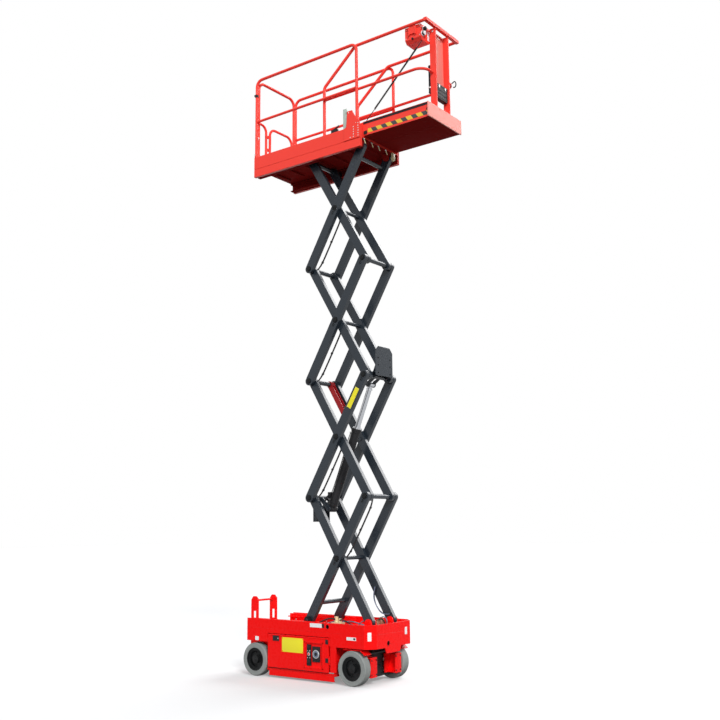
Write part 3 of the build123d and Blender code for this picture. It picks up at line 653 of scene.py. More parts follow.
def grow(name, body, tree, verts, edges, skin, aims=(), smooth=False, shift=None, **values):
    """Run a tree on a seed of points and edges, in metres, and keep what it makes."""
    mesh = bpy.data.meshes.new(name + "_seed")
    mesh.from_pydata(verts, edges, [])
    if aims:
        attribute = mesh.attributes.new("aim", "FLOAT_VECTOR", "POINT")
        attribute.data.foreach_set("vector", [c for aim in aims for c in aim])
    obj = show(mesh, name + "_seed")
    modifier = obj.modifiers.new("made", "NODES")
    modifier.node_group = tree
    values["Finish"] = finish[skin]
    for item in tree.interface.items_tree:
        if item.in_out == "INPUT" and item.name in values:
            modifier[item.identifier] = values[item.name]
    made = bake(obj, name)
    if shift:
        made.transform(Matrix.Translation(shift))
    settle(name, made, body, [skin], smooth)


def fixings(name, body, tree, places, r, h, skin="zinc"):
    """Bolts with flat faces, or round rivets and caps: places are ((x, y, z), aim) in millimetres."""
    verts = [spot(*p) for p, aim in places]
    aims = [Vector(aim).normalized() for p, aim in places]
    grow(name, body, tree, verts, [], skin, aims, tree != BOLTS, Radius=r / 1000, Height=h / 1000)


def welds(name, body, paths, r=3.0, skin="arm_grey"):
    verts = []
    edges = []
    for path in paths:
        edges += [(len(verts) + i, len(verts) + i + 1) for i in range(len(path) - 1)]
        verts += [spot(*p) for p in path]
    grow(name, body, WELDS, verts, edges, skin, smooth=True, Radius=r / 1000, Pitch=r * 1.5 / 1000)


def loop(centre, axis, r, count=24):
    """Points round a circle, closed."""
    points = circle(centre, axis, r, count)
    return points + points[:1]


def bolt_circle(x, y, z, r, count, way, phase=0.0):
    """Places of bolts round a circle that faces along Y."""
    turns = [2 * math.pi * (i + phase) / count for i in range(count)]
    return [((x + r * math.cos(t), y, z + r * math.sin(t)), (0, way, 0)) for t in turns]


# Scissor pivots
def pivot_details():
    """Caps, keeper plates, bolts and weld rims where the arms meet."""
    for k in range(1, STAGES + 1):
        body = "outer_%d" % k
        z1 = stage_z(k + 1)
        pins = [(CENTRE_X, (stage_z(k) + z1) / 2)]
        if k < STAGES:
            pins.append((PIVOT_FRONT_X, z1))
        caps = []
        bolts = []
        rims = []
        keepers = Piece("pin_keepers_%d" % k, body, "arm_grey")
        for x, z in pins:
            kx = x - C * 52
            kz = z - S * 52
            for s in SIDES:
                caps.append(((x, s * PIN_END, z), (0, s, 0)))
                rims.append(loop((x, s * (ARM_FACE + 0.5), z), LEFT, 33))
                keepers.block((kx, s * (ARM_FACE + 2.5), kz), (44, 5, 26), 2, ARM_TURN)
                bolts += [((kx + d * C, s * (ARM_FACE + 5), kz + d * S), (0, s, 0)) for d in (-9, 9)]
        keepers.keep()
        fixings("pin_caps_%d" % k, body, CAPS, caps, 22, 9 if k < STAGES else 1.5, "hub_black")
        fixings("keeper_bolts_%d" % k, body, BOLTS, bolts, 6.5, 5, "hub_black")
        welds("boss_welds_%d" % k, body, rims)
        if k < STAGES:
            rear = [((PIVOT_REAR_X, s * PIN_END, z1), (0, s, 0)) for s in SIDES]
            fixings("rear_caps_%d" % k, "inner_%d" % k, CAPS, rear, 22, 9, "hub_black")


# Chassis and its doors
def chassis_plates():
    """Blank plates on the sides, the nose with its chamfers, and the rear."""
    plates = Piece("chassis_plates", "chassis", "white_plate", "black_plastic", "zinc")
    rows = (("white_plate", -2, 152, 524, 564, PLATE), ("white_plate", 468, 585, 423, 454, PLATE),
            ("white_plate", -758, -708, 352, 392, PLATE), ("black_plastic", 155, 183, 524, 564, PLATE),
            ("black_plastic", 552, 578, 430, 447, 1.9))
    turn = math.atan2(85, 90)
    for s in SIDES:
        for skin, x0, x1, z0, z1, rise in rows:
            plates.use(skin).box(x0, x1, s * (HALF_WIDTH - SUNK), s * (HALF_WIDTH + rise), z0, z1, 0.5)
        middle = (685 + 85 * 0.42 + math.cos(turn), s * (HALF_WIDTH - 90 * 0.42 + math.sin(turn)), 465)
        slant = Matrix.Rotation(s * (math.pi / 2 - turn), 3, "Z")
        plates.use("white_plate").block(middle, (2, 38, 82), 0.5, slant)
    plates.box(CHASSIS_FRONT - SUNK, CHASSIS_FRONT + PLATE, 196, 234, 444, 516, 0.5)
    plates.use("zinc").box(CHASSIS_REAR - PLATE, CHASSIS_REAR + SUNK, -300, -215, 395, 450, 0.5)
    plates.keep(False)


def gap_painted_shade():
    """Dark strips behind the gap at the doors' hinged edges: painted shade where the gap would show the
    floor.
    """
    shade_strips = Piece("gap_painted_shade", "chassis", "black_plastic")
    for s in SIDES:
        shade_strips.box(219, 300, s * 337, s * 343, 97, 132, 1)
    shade_strips.keep()


def tie_rings():
    """Rims of the tie-down bores, with dark sleeves and plugs behind them as painted shade inside the bores.
    """
    rings = Piece("tie_rings", "chassis", "red_enamel", "hub_black")
    for centre, axis, r in (((226, -HALF_WIDTH, 538), RIGHT, 20), ((226, HALF_WIDTH, 538), LEFT, 20),
                            ((CHASSIS_FRONT, -95, 385), AHEAD, 24)):
        centre = Vector(centre)
        axis = Vector(axis)
        rings.use("red_enamel").ring(centre - axis, centre + axis * 2.5, r + 0.4, r + 5)
        # Painted shade: a dark sleeve and plug deep in each bore, standing in for the shade of the hollow
        # behind
        rings.use("hub_black").ring(centre - axis * 44, centre - axis * 2, r - 0.5, r + 4)
        rings.rod(centre - axis * 46, centre - axis * 42, r + 3)
    rings.keep()


def door_fittings():
    """Latches, hinge covers, rivets, beads and the blank sign on the two tray doors, and a dark strip behind
    the gap under each door as painted shade.
    """
    for s, side in SIDE_NAMES:
        body = side + "_tray"
        face = s * HALF_WIDTH
        door = Piece(body + "_fittings", body, "black_plastic", "zinc", "red_enamel", "yellow_plate")

        def slab(x0, x1, z0, z1, rise, soft=2.0):
            door.box(x0, x1, face - s * SUNK, face + s * rise, z0, z1, soft)

        slab(-506, -421, 361, 415, 5)
        slab(-492, -440, 372, 404, 9, 3)
        for z in (189, 369):
            slab(200, 235, z, z + 44, 4)
        # Painted shade: a dark strip behind the gap under the door, so the bright floor does not show through
        door.box(-570, 228, s * 361.5, s * 366, 87.5, 110, 1)
        door.use("zinc").rod((-432, face, 388), (-432, face + s * 8, 388), 6)
        door.use("red_enamel")
        slab(-566, 224, 416, 424, 4, 1.5)
        rivets = [((x, face, 106), (0, s, 0)) for x in (-560, -300, -60, 196) if s > 0 or x < -100]
        if s < 0:
            door.use("yellow_plate")
            slab(-380, -94, 259, 404, PLATE, 0.5)
            door.use("red_enamel")
            for x0, x1, z0, z1 in ((-80, 170, 368, 380), (-80, 170, 118, 130), (-80, -66, 118, 380),
                                   (156, 170, 118, 380)):
                slab(x0, x1, z0, z1, 2.5, 1.2)
            rivets += [((x, face - PLATE, z), RIGHT) for x in (-372, -102) for z in (267, 396)]
        door.keep()
        fixings(body + "_rivets", body, RIVETS, rivets, 4.5, 3, "red_enamel")


def ground_panel():
    """Selector, buttons and the round meter in the recess of the right door."""
    panel = Piece("ground_panel_parts", "right_tray", "black_plastic", "zinc", "signal_red", "blue_plate",
                  "hub_black")

    def knob(skin, x, y, z, profile, sides=24):
        panel.use(skin).lathe((x, y, z), RIGHT, profile, sides)

    y = -HALF_WIDTH + 2
    for z, r in ((326, 19), (186, 21)):
        knob("hub_black", -20, y, z, [(0, r + 4), (2, r + 4), (3, r + 2), (3.2, r - 4)])
        knob("black_plastic", -20, y - 3, z, [(0, r), (4, r), (7, r - 4), (8, 3)])
        panel.box(-23, -17, y - 12, y - 9, z - r + 4, z + r - 4, 1.2)
    knob("zinc", -20, y, 258, [(0, 17), (2, 17), (3, 14), (3.2, 10)])
    knob("signal_red", -20, y - 2, 258, [(0, 10), (4, 10), (6, 7), (7, 2)])
    for z in (222, 290):
        for x in (-34, -6):
            knob("zinc", x, y, z, [(0, 5), (2, 5), (4, 3)], 6)
    y = -HALF_WIDTH + 4
    knob("zinc", 73, y, 262, [(0, 41), (3, 41), (5, 38), (5, 35), (3.4, 34), (3.4, 2)], 36)
    knob("blue_plate", 73, y - 3, 262, [(0, 34), (0.6, 34), (0.8, 2)], 36)
    knob("black_plastic", 73, y - 3, 262, [(0, 18), (2.4, 18), (3.4, 14), (3.6, 2)])
    for i in range(12):
        turn = Matrix.Rotation(2 * math.pi * i / 12, 3, "Y")
        panel.box(72, 74, y - 5, y - 3.6, 286, 294, 0.3, turn, (73, y, 262))
    for x in (40, 73, 106):
        knob("black_plastic", x, y, 205, [(0, 10), (2, 10), (2, 7), (6, 6), (7, 3)])
    panel.keep()


def ladder_parts():
    """Ribbed grips on the lower rungs, bolts and weld rims."""
    grips = Piece("rung_grips", "chassis", "black_plastic", "red_enamel")
    ribs = [(0, 10.5)]
    for d in range(4, 268, 8):
        ribs += [(d, 11.4), (d + 1.2, 13.2), (d + 4.8, 13.2), (d + 6, 11.4)]
    ribs.append((272, 10.5))
    for z in (270, 500):
        grips.lathe((LADDER_X, -136, z), LEFT, ribs, 18)
    grips.keep()
    bolts = [((-896, s * 156, z), (0, s, 0)) for s in SIDES for z in (215, 300, 385)]
    rims = [loop((LADDER_X, s * 144, z), LEFT, 12, 20) for s in SIDES for z in (270, 500, 735)]
    fixings("ladder_bolts", "chassis", BOLTS, bolts, 9, 7)
    welds("rung_welds", "chassis", rims, 2.2, "red_enamel")


def rear_face():
    """Charger socket, lamps and bolted pads on the ladder's end."""
    x = CHASSIS_REAR
    rear = Piece("rear_fittings", "chassis", "black_plastic", "zinc", "signal_red", "red_enamel")
    rear.box(x - 10, x + 1, 195, 275, 385, 455, 3).box(x - 16, x - 9, 200, 270, 392, 448, 4)
    rear.use("zinc").rod((x - 13, 203, 450), (x - 13, 267, 450), 4)
    bolts = []
    for s in SIDES:
        rear.use("black_plastic").lathe((x + 1, s * 335, 410), BACK, [(0, 27), (6, 27), (7, 24), (9, 22)])
        rear.use("signal_red").lathe((x - 6, s * 335, 410), BACK, [(0, 21), (3, 21), (6, 15), (8, 2)])
        rear.use("red_enamel").box(x - 4, x + 1, s * 205 - 34, s * 205 + 34, 352, 376, 2)
        bolts += [((x, s * y, 465), BACK) for y in (60, 180, 300, 360)]
        bolts += [((x - 4, s * 205 + d, 364), BACK) for d in (-22, 22)]
    rear.keep()
    fixings("rear_bolts", "chassis", BOLTS, bolts, 6.5, 5)


def guard_parts():
    """Ribs and hinge washers of the pothole guards."""
    for s, side in SIDE_NAMES:
        y = s * 356
        bars = Piece(side + "_guard_parts", side + "_guard", "red_enamel", "zinc")
        for x in (-520, -330, -140, 50, 240):
            bars.box(x - 4, x + 4, y - s * 9, y - s * 3, 20, 70, 1)
        for x in (-574, 291):
            bars.ring((x - 1.5, y, 78), (x + 1.5, y, 78), 8.2, 13)
        bars.keep()


# Wheels, steering and drive
def wheel_parts():
    """Rims, grooves in the tyres, wheel nuts and studs."""
    for x, end in ((FRONT_AXLE_X, "front_"), (REAR_AXLE_X, "rear_")):
        for s, side in SIDE_NAMES:
            tail = end + side
            body = "wheel_" + tail
            face = s * HALF_WIDTH

            def at(depth):
                return (x, face - s * depth, AXLE_Z)

            rim = Piece("rim_" + tail, body, "hub_black", "zinc", "tyre_grey")
            rim.ring(at(15), at(4), HUB_R - 10, HUB_R - 1, 48)
            rim.ring(at(40), at(20), HUB_R - 30, HUB_R - 22.5, 48)
            rim.lathe(at(8), (0, s, 0), [(0, 34), (3, 34), (5, 30), (7, 26)], 32)
            rim.lathe(at(3), (0, s, 0), [(0, 19), (4, 19), (6, 15), (6.6, 3)], 6)
            rim.use("tyre_grey")
            for r in (128, 158):
                rim.ring(at(2.0), at(-1.2), r, r + 3.5, 64)
            for depth in (20, 50, 80):
                rim.ring(at(depth), at(depth + 3), WHEEL_R - 2, WHEEL_R + 0.6, 64)
            rim.keep()
            nuts = bolt_circle(x, face - s * 44, AXLE_Z, 68, 5, s, 0.5)
            fixings("wheel_nuts_" + tail, body, BOLTS, nuts, 9.5, 12, "hub_black")
            studs = bolt_circle(x, face - s * 44, AXLE_Z, 87, 10, s)
            fixings("rim_studs_" + tail, body, RIVETS, studs, 4, 4, "hub_black")


DRIVE_HOSES = {
    "a": ((8, -68, 196), (8, -72, 235), (-20, -42, 262), (-28, -4, 285), (-26, 0, 318)),
    "b": ((-14, -68, 196), (-18, -74, 230), (-44, -52, 250), (-52, -20, 275), (-30, -12, 312)),
}


def steering_parts():
    """Drive motors, brackets, hoses and nuts of the steered wheels, and the front beam's bolts."""
    a = FRONT_AXLE_X
    for s, tail in SIDE_NAMES:
        body = tail + "_steer"
        k = s * KINGPIN_Y
        inner = k - s * 62
        parts = Piece("steer_parts_" + tail, body, "zinc", "hub_black", "red_enamel", "brass")
        for x in (a + 8, a - 14):
            parts.rod((x, inner - s * 6, AXLE_Z + 12), (x, inner - s * 6, AXLE_Z + 44), 8)
        parts.use("hub_black").lathe((a, inner + s * 2, AXLE_Z), (0, -s, 0),
                                     [(0, 40), (6, 40), (9, 34), (9, 22), (15, 20), (18, 17)])
        parts.use("brass").rod((a + 24, k, 320), (a + 31, k, 324), 3)
        parts.use("red_enamel").box(a + 142, a + 150, s * 156, s * 262, 62, 256, 3)
        parts.box(a + 54, a + 143, s * 206 - 5, s * 206 + 5, 74, 250, 2)
        for z in (66, 244):
            parts.box(a + 54, a + 143, s * 156, s * 262, z, z + 8, 2)
        parts.keep()
        bolts = [((a + 150, k + s * d, z), AHEAD) for z in (90, 228) for d in (-80, -4)]
        bolts += bolt_circle(a, inner, AXLE_Z, 33, 4, -s, 0.5)
        bolts += [((a + d, s * 318, 334), UP) for d in (-90, -40, 84)]
        fixings("steer_bolts_" + tail, body, BOLTS, bolts, 6.5, 5, "hub_black")
        for name, route in DRIVE_HOSES.items():
            hose("drive_hose_%s_%s" % (name, tail), body, [(a + x, k + s * y, z) for x, y, z in route], 6)
    beam = Piece("beam_parts", "chassis", "hub_black", "zinc")
    for z in (110, 180):
        beam.box(a + 40, a + 46, -78, 78, z, z + 12, 2)
    beam.rod((a + 40, -40, 145), (a + 52, -40, 145), 13)
    beam.rod((a + 40, 30, 150), (a + 50, 30, 150), 9)
    beam.keep()
    places = [((a + 41, y, z), AHEAD) for y in (-68, 68) for z in (70, 250, 330)]
    places += [((a, s * KINGPIN_Y, 40), DOWN) for s in SIDES]
    fixings("beam_bolts", "chassis", BOLTS, places, 8, 6, "hub_black")
    nuts = [((a + 95, s * (KINGPIN_Y - 46) - 1, 289), (0, -s, 0)) for s in SIDES]
    fixings("tie_rod_nuts", "tie_rod", BOLTS, nuts, 13, 10)
    for s, tail in SIDE_NAMES:
        fixings("tie_pin_nut_" + tail, tail + "_steer", BOLTS, [((a + 95, s * KINGPIN_Y, 302), UP)], 8, 6)


def rear_axle_parts():
    places = [place for s in SIDES for place in bolt_circle(REAR_AXLE_X, s * 275, AXLE_Z, 52, 6, s)]
    fixings("stub_bolts", "chassis", BOLTS, places, 8, 4)


# Scissor: cables, plates, cylinder and prop
def along(x, z, d, out, y, way=1):
    """A point on an arm: d along it from its lower pivot, out to its upper face, way -1 for an inner arm."""
    return (x + way * C * d - way * S * out, y, z + S * d + C * out)


def arm_cables():
    """Two cables clipped to one outer arm of each stage."""
    x = PIVOT_REAR_X
    for k in range(1, STAGES + 1):
        z0 = stage_z(k)
        body = "outer_%d" % k
        first, last = (742, 1432) if k == 1 else (30, 706)
        for n, (y, r) in enumerate(((-150, 5.5), (-141, 4.0))):
            drop = -46 - 3 * n
            steps = ((first, -27), (first + 60, drop), (first + 200, drop - 4), (last - 200, drop - 3),
                     (last - 60, drop), (last, -28))
            points = [along(x, z0, d, out, y) for d, out in steps]
            if k > 1:
                points = [(x - 36, y, z0 - 8), (x - 20, y, z0 - 34), (x + 14, y, z0 - 36)] + points
            hose("arm_cable_%d_%d" % (k, n), body, points, r)
        clips = Piece("cable_clips_%d" % k, body, "black_plastic", "zinc")
        for d in (first + 90, (first + last) / 2, last - 90):
            clips.block(along(x, z0, d, -48, -146), (22, 26, 12), 2, ARM_TURN)
        clips.keep()


def foot_hoses():
    """Slack hoses on the inner side of the lowest inner arms."""
    for n, (y, r, skin) in enumerate(((152, 6, "hose_rubber"), (142, 5, "blue_plate"))):
        steps = ((52, 30), (70, -20), (120, -64), (200, -82 + 8 * n), (270, -70), (330, -36), (372, 10))
        points = [along(PIVOT_FRONT_X, PIVOT_Z, d, out, y, -1) for d, out in steps]
        hose("foot_hose_%d" % n, "inner_1", points, r, skin)


def arm_plates():
    """Blank yellow plates on the second stage, with their rivets."""
    plates = Piece("second_arm_plates", "outer_2", "yellow_plate")
    rivets = []
    for s in SIDES:
        plates.block(along(PIVOT_REAR_X, stage_z(2), 1176, 0, s * 262.55), (230, 2.1, 54), 0.5, ARM_TURN)
        rivets += [(along(PIVOT_REAR_X, stage_z(2), d, out, s * 263.6), (0, s, 0))
                   for d in (1070, 1282) for out in (-20, 20)]
    plates.keep(False)
    fixings("arm_plate_rivets", "outer_2", RIVETS, rivets, 3.5, 2)


def arm_welds():
    """Beads where the shafts and cross tubes go into the arms."""
    for k in range(1, STAGES + 1):
        z1 = stage_z(k + 1)
        shaft = [loop((PIVOT_REAR_X, s * 163, z1), LEFT, 27) for s in SIDES]
        welds("shaft_welds_%d" % k, "inner_%d" % k, shaft)
        tubes = []
        if k < STAGES:
            tubes.append((PIVOT_FRONT_X, z1, 27))
        if k == 1:
            tubes.append((PIVOT_REAR_X + C * 200, PIVOT_Z + S * 200, 24))
        if k == STAGES:
            tubes.append((PIVOT_FRONT_X - 120 * C, z1 - 120 * S, 24))
        rims = [loop((x, s * 215, z), LEFT, r) for x, z, r in tubes for s in SIDES]
        welds("tube_welds_%d" % k, "outer_%d" % k, rims)


def cylinder_parts():
    """Bands, ports, valve, pipe and hoses on the barrel, and the collar and washers of the rod's eye."""
    bx = PIVOT_REAR_X + 150 * C + 30 * S
    bz = stage_z(2) - 150 * S + 30 * C
    tx = PIVOT_FRONT_X - 111 * C - 50 * S
    tz = stage_z(3) - 111 * S + 50 * C
    length = math.hypot(tx - bx, tz - bz)
    ux = (tx - bx) / length
    uz = (tz - bz) / length
    head = 0.63 * length
    gland = 0.648 * length
    port = 0.60 * length

    def at(d, out=0.0, y=0.0):
        return (bx + ux * d - uz * out, y, bz + uz * d + ux * out)

    body = "barrel"
    parts = Piece("barrel_fittings", body, "black_plastic", "zinc", "machined", "brass")
    parts.ring(at(head), at(head + 12), 44, 55, 40)
    for d in (44, 70, 300, 560):
        parts.ring(at(d), at(d + 14), 45.5, 49, 40)
    valve = [c for pair in zip(at(110, 62, -22), at(150, 62, 22)) for c in (min(pair) - 14, max(pair) + 14)]
    parts.box(*valve, 3)
    parts.use("machined").ring(at(gland - 1), at(gland + 9), 27.6, 44, 40)
    parts.use("zinc").rod(at(84, 40), at(84, 76), 13).rod(at(84, 70, -12), at(84, 70, 26), 10)
    parts.rod(at(port, 40), at(port, 72), 11)
    parts.use("brass").rod(at(130, 84), at(130, 96), 8)
    parts.keep()
    pipe = [at(94, 60, -16), at(120, 46, -44), at(200, 22, -54), at(500, 22, -54), at(0.57 * length, 40, -42),
            at(0.598 * length, 52, -16)]
    hose("barrel_pipe", body, pipe, 4.5, "hub_black")
    hose("barrel_hose_a", body, [at(84, 70, 26), at(84, 72, 52), at(50, 74, 62), at(10, 60, 64),
                                 at(-34, 30, 58)], 8)
    hose("barrel_hose_b", body, [at(130, 62, -30), at(128, 66, -52), at(80, 76, -60), at(30, 66, -58),
                                 at(-30, 34, -50)], 7)
    turns = [i * math.pi / 4 for i in range(8)]
    bolts = [(at(gland, 47.5 * math.cos(t), 47.5 * math.sin(t)), (ux, 0, uz)) for t in turns]
    fixings("gland_bolts", body, BOLTS, bolts, 4, 4)
    eye = Piece("rod_eye_parts", "rod", "machined", "zinc")
    eye.ring(at(length - 60), at(length - 44), 26.5, 33, 32)
    for s in SIDES:
        eye.use("zinc").ring((tx, s * 36, tz), (tx, s * 38.6, tz), 17.5, 27)
    eye.keep()


def prop_parts():
    """Ribs and the grip of the safety prop."""
    prop = Piece("prop_parts", "prop", "red_enamel", "black_plastic")

    def at(d, up, y):
        return (PIVOT_REAR_X + C * d + S * up, y, stage_z(3) - S * d + C * up)

    for d in (110, 190, 270, 350):
        prop.block(at(d, -17, 118), (8, 42, 16), 1.5, Matrix.Rotation(ANGLE, 3, "Y"))
    prop.use("black_plastic").rod(at(330, 30, 96), at(330, 30, 140), 9)
    prop.keep()


def guide_parts():
    """Bolts and cables of the two cable guides."""
    x = PIVOT_FRONT_X + 80
    z = stage_z(3)
    bolts = [((x, y, z + h), AHEAD) for y in (-106, 106) for h in (30, 110, 185)]
    fixings("upper_guide_bolts", "outer_2", BOLTS, bolts, 6.5, 5, "hub_black")
    route = ((-10, 300), (-26, 250), (-30, 150), (-34, 60), (-36, 36))
    for n in range(4):
        hose("guide_cable_%d" % n, "outer_2", [(x + d, 40 * n - 60, z + h) for d, h in route], 8)
    x = PIVOT_REAR_X - 60
    z = stage_z(2)
    route = ((22, -236), (2, -246), (-16, -226), (-20, -180), (-14, -110), (4, -74))
    for n in range(3):
        hose("lower_guide_cable_%d" % n, "inner_1", [(x + d, 60 * n - 70, z + h) for d, h in route], 8)
    bolts = [((x, y, z + h), BACK) for y in (-108, 108) for h in (-225, -165, -105)]
    fixings("lower_guide_bolts", "inner_1", BOLTS, bolts, 6, 5, "hub_black")


# Well: hoses, wiring and the pump's relays
WELL_HOSES = (
    ("hose_1", 7, "hose_rubber",
     ((100, -20, 560), (130, -40, 582), (220, -60, 560), (330, -40, 510), (470, -20, 500))),
    ("hose_2", 8, "hose_rubber",
     ((60, -20, 570), (20, -60, 592), (-60, -110, 560), (-160, -130, 510), (-300, -132, 490))),
    ("hose_3", 6, "blue_plate",
     ((110, 10, 548), (180, 60, 560), (300, 110, 520), (420, 110, 500), (476, 90, 498))),
    ("hose_4", 6, "blue_plate", ((40, 20, 545), (-20, 80, 560), (-120, 120, 520), (-280, 126, 490))),
    ("wire_1", 5, "blue_plate",
     ((548, 96, 606), (560, 110, 622), (590, 128, 600), (600, 132, 540), (585, 120, 490))),
    ("wire_2", 5, "hose_rubber",
     ((548, 30, 588), (566, 60, 606), (592, 90, 580), (596, 100, 520), (580, 96, 488))),
    ("wire_3", 5, "blue_plate",
     ((500, -30, 584), (470, -60, 596), (420, -100, 560), (380, -120, 500), (340, -126, 486))),
)
RELAYS = ((96, ((0, 30), (4, 32), (84, 32), (90, 28), (90, 16), (108, 16), (112, 12))),
          (30, ((0, 26), (4, 28), (70, 28), (76, 24), (76, 12), (90, 12), (92, 9))))


def well_parts():
    floor = WELL_FLOOR
    relay = Piece("pump_relays", "chassis", "brown_enamel", "black_plastic", "zinc", "cream_enamel")
    for y, profile in RELAYS:
        relay.lathe((548, y, floor + 20), UP, profile, 28)
    relay.use("black_plastic").box(470, 590, -70, 130, floor, floor + 26, 4)
    relay.use("cream_enamel").box(480, 520, -60, 60, floor + 24, floor + 92, 6)
    for y in (-30, 20):
        relay.use("zinc").rod((500, y, floor + 90), (500, y, floor + 106), 9)
    relay.keep()
    for name, r, skin, points in WELL_HOSES:
        hose("well_" + name, "chassis", points, r, skin)
    bolts = [((x, s * 304, floor + 30), (0, -s, 0)) for s in SIDES for x in (-780, -560, -340)]
    fixings("track_bolts", "chassis", BOLTS, bolts, 7, 5)
    rims = [[(x, s * y, floor + 11) for x in (PIVOT_FRONT_X - 60, PIVOT_FRONT_X + 60)]
            for s in SIDES for y in (139, 233)]
    welds("lug_welds", "chassis", rims, 4, "red_enamel")


# Platform
def deck_underside():
    """Plates and ribs under both decks, in a dark red that is painted shade."""
    # Painted shade: the liner and ribs are dark red so that the deck's underside reads as shaded
    under = Piece("main_underside", "platform", "under_red")
    rear = DECK_REAR + 8
    front = DECK_FRONT - 6
    under.box(rear, front, -329, 329, FLOOR_Z - 14.6, FLOOR_Z - 12.5, 0.5)
    for x in (-760, -540, -320, -100, 120, 340, 540):
        under.box(x - 20, x + 20, -150, 150, FLOOR_Z - 33, FLOOR_Z - 13, 2)
    for s in SIDES:
        under.box(rear, front, s * 327, s * 329.5, 5524, FLOOR_Z - 15, 0.5)
    under.keep()
    out = Piece("roll_out_underside", "extension", "under_red")
    out.box(DECK_FRONT + 8, EXT_FRONT - 14, -300, 300, EXT_BOTTOM - 1.6, EXT_BOTTOM + 0.5, 0.4)
    out.box(DECK_FRONT + 8, EXT_FRONT - 14, -46, -34, EXT_BOTTOM - 3.4, EXT_BOTTOM, 1)
    out.keep()


def tread_floors():
    for name, body, x0, x1, half, z in (("main_tread", "platform", -820, 660, 210, FLOOR_Z),
                                        ("roll_out_tread", "extension", 150, 1425, 280, EXT_BOTTOM + 12)):
        grow(name, body, TREAD, [], [], "rail_red", smooth=True, shift=spot((x0 + x1) / 2, 0, z),
             Length=(x1 - x0) / 1000, Width=2 * half / 1000, Rows=int((x1 - x0) / LOZENGE_PITCH),
             Columns=int(2 * half / LOZENGE_PITCH))


def rail_sockets():
    """Collars at the posts' feet, with pins on the main deck's, and beads where the mid rails join."""
    main = Piece("main_sockets", "platform", "rail_red")
    out = Piece("roll_out_sockets", "extension", "rail_red")

    def collar(piece, x, y, z, wall):
        piece.ring((x, y, z - 1), (x, y, z + 46), RAIL_R - 0.5, RAIL_R + wall, 28)

    pins = []
    main_beads = []
    out_beads = []
    for s in SIDES:
        for x, way in ((POST_REAR_X, 1), (POST_FRONT_X, -1)):
            collar(main, x, s * RAIL_Y, TOE_TOP, 4)
            pins.append(((x, s * (RAIL_Y + 21), TOE_TOP + 30), (0, s, 0)))
            main_beads.append(loop((x + way * RAIL_R, s * RAIL_Y, MID_RAIL), AHEAD, 15.5, 20))
        collar(main, POST_REAR_X, s * GATE_POST_Y, TOE_TOP, 3)
        collar(out, EXT_POST_X, s * EXT_HALF, EXT_POST_FOOT, 3)
        out_beads.append(loop((EXT_POST_X + RAIL_R, s * EXT_HALF, MID_RAIL), AHEAD, 15.5, 20))
    main.keep()
    fixings("main_sockets_bolts", "platform", BOLTS, pins, 5.5, 4)
    out.keep()
    welds("side_rail_welds", "platform", main_beads, 2, "rail_red")
    welds("roll_out_rail_welds", "extension", out_beads, 2, "rail_red")


def lock_parts():
    """The roll-out deck's lock: plate, handle and the rivets of both side panels."""
    lock = Piece("lock_parts", "platform", "pale_green", "black_plastic", "zinc", "rail_red")
    outline = [(0, 0), (58, 0), (58, 205), (44, 232), (0, 232)]
    lock.sheet(outline, 4, (452, -352, TOE_TOP - 1), AHEAD, UP, 1).box(500, 560, -371, -348, 5941, 5947, 1.5)
    lock.use("black_plastic").box(286, 372, -362, -332, TOE_TOP - 1, TOE_TOP + 34, 5)
    lock.rod((300, -347, TOE_TOP + 30), (392, -352, TOE_TOP + 66), 8)
    lock.use("zinc").rod((330, -332, TOE_TOP + 14), (330, -318, TOE_TOP + 14), 9)
    lock.keep()
    heights = (5640, 5668, 5696, 5724, 5752)
    near = [(x, z) for x in (602, 664) for z in heights] + [(664, 5780), (540, 5925), (560, 5640)]
    fixings("lock_rivets", "platform", RIVETS, [((x, -372, z), RIGHT) for x, z in near], 6.5, 3)
    far = [((x, 364, z), LEFT) for x in (602, 664) for z in heights[:4]]
    fixings("far_rivets", "platform", RIVETS, far, 6.5, 3)


def gate_parts():
    """The gate's latch, and the clip and rings on the rear posts."""
    x = POST_REAR_X
    gate = Piece("gate_parts", "gate", "black_plastic", "zinc", "rail_red")
    gate.rod((x - 12, 272, 6084), (x - 34, 272, 6084), 9)
    gate.lathe((x - 30, 272, 6084), BACK, [(0, 12), (4, 15), (11, 15), (16, 9)])
    gate.use("zinc").box(x - 12, x + 12, 262, 283, 6050, 6110, 3)
    gate.keep()
    clip = Piece("post_clip", "platform", "black_plastic", "zinc")
    clip.ring((x, -RAIL_Y, 6506), (x, -RAIL_Y, 6536), 16.5, 21)
    clip.box(x - 14, x + 14, -380, -366, 6510, 6532, 3)
    for s in SIDES:
        clip.use("zinc").ring((x + 20, s * RAIL_Y - 4, 5990), (x + 20, s * RAIL_Y + 4, 5990), 11, 18, 24)
    clip.keep()


SIDE_TRIM = (
    ("hazard_bands", 748, 1506, PLATE, 5666, 5711, 0.4),
    # A dark strip under the top flange: painted shadow of the flange
    ("black_plastic", 690, 1514, 4, 5774, 5796, 1),
    ("black_plastic", 698, 738, 11, 5656, 5692, 3),
    ("black_plastic", 1492, 1513, 3, 5712, 5738, 2),
    ("rail_red", 690, 1514, 9, 5796, 5800, 1),
)


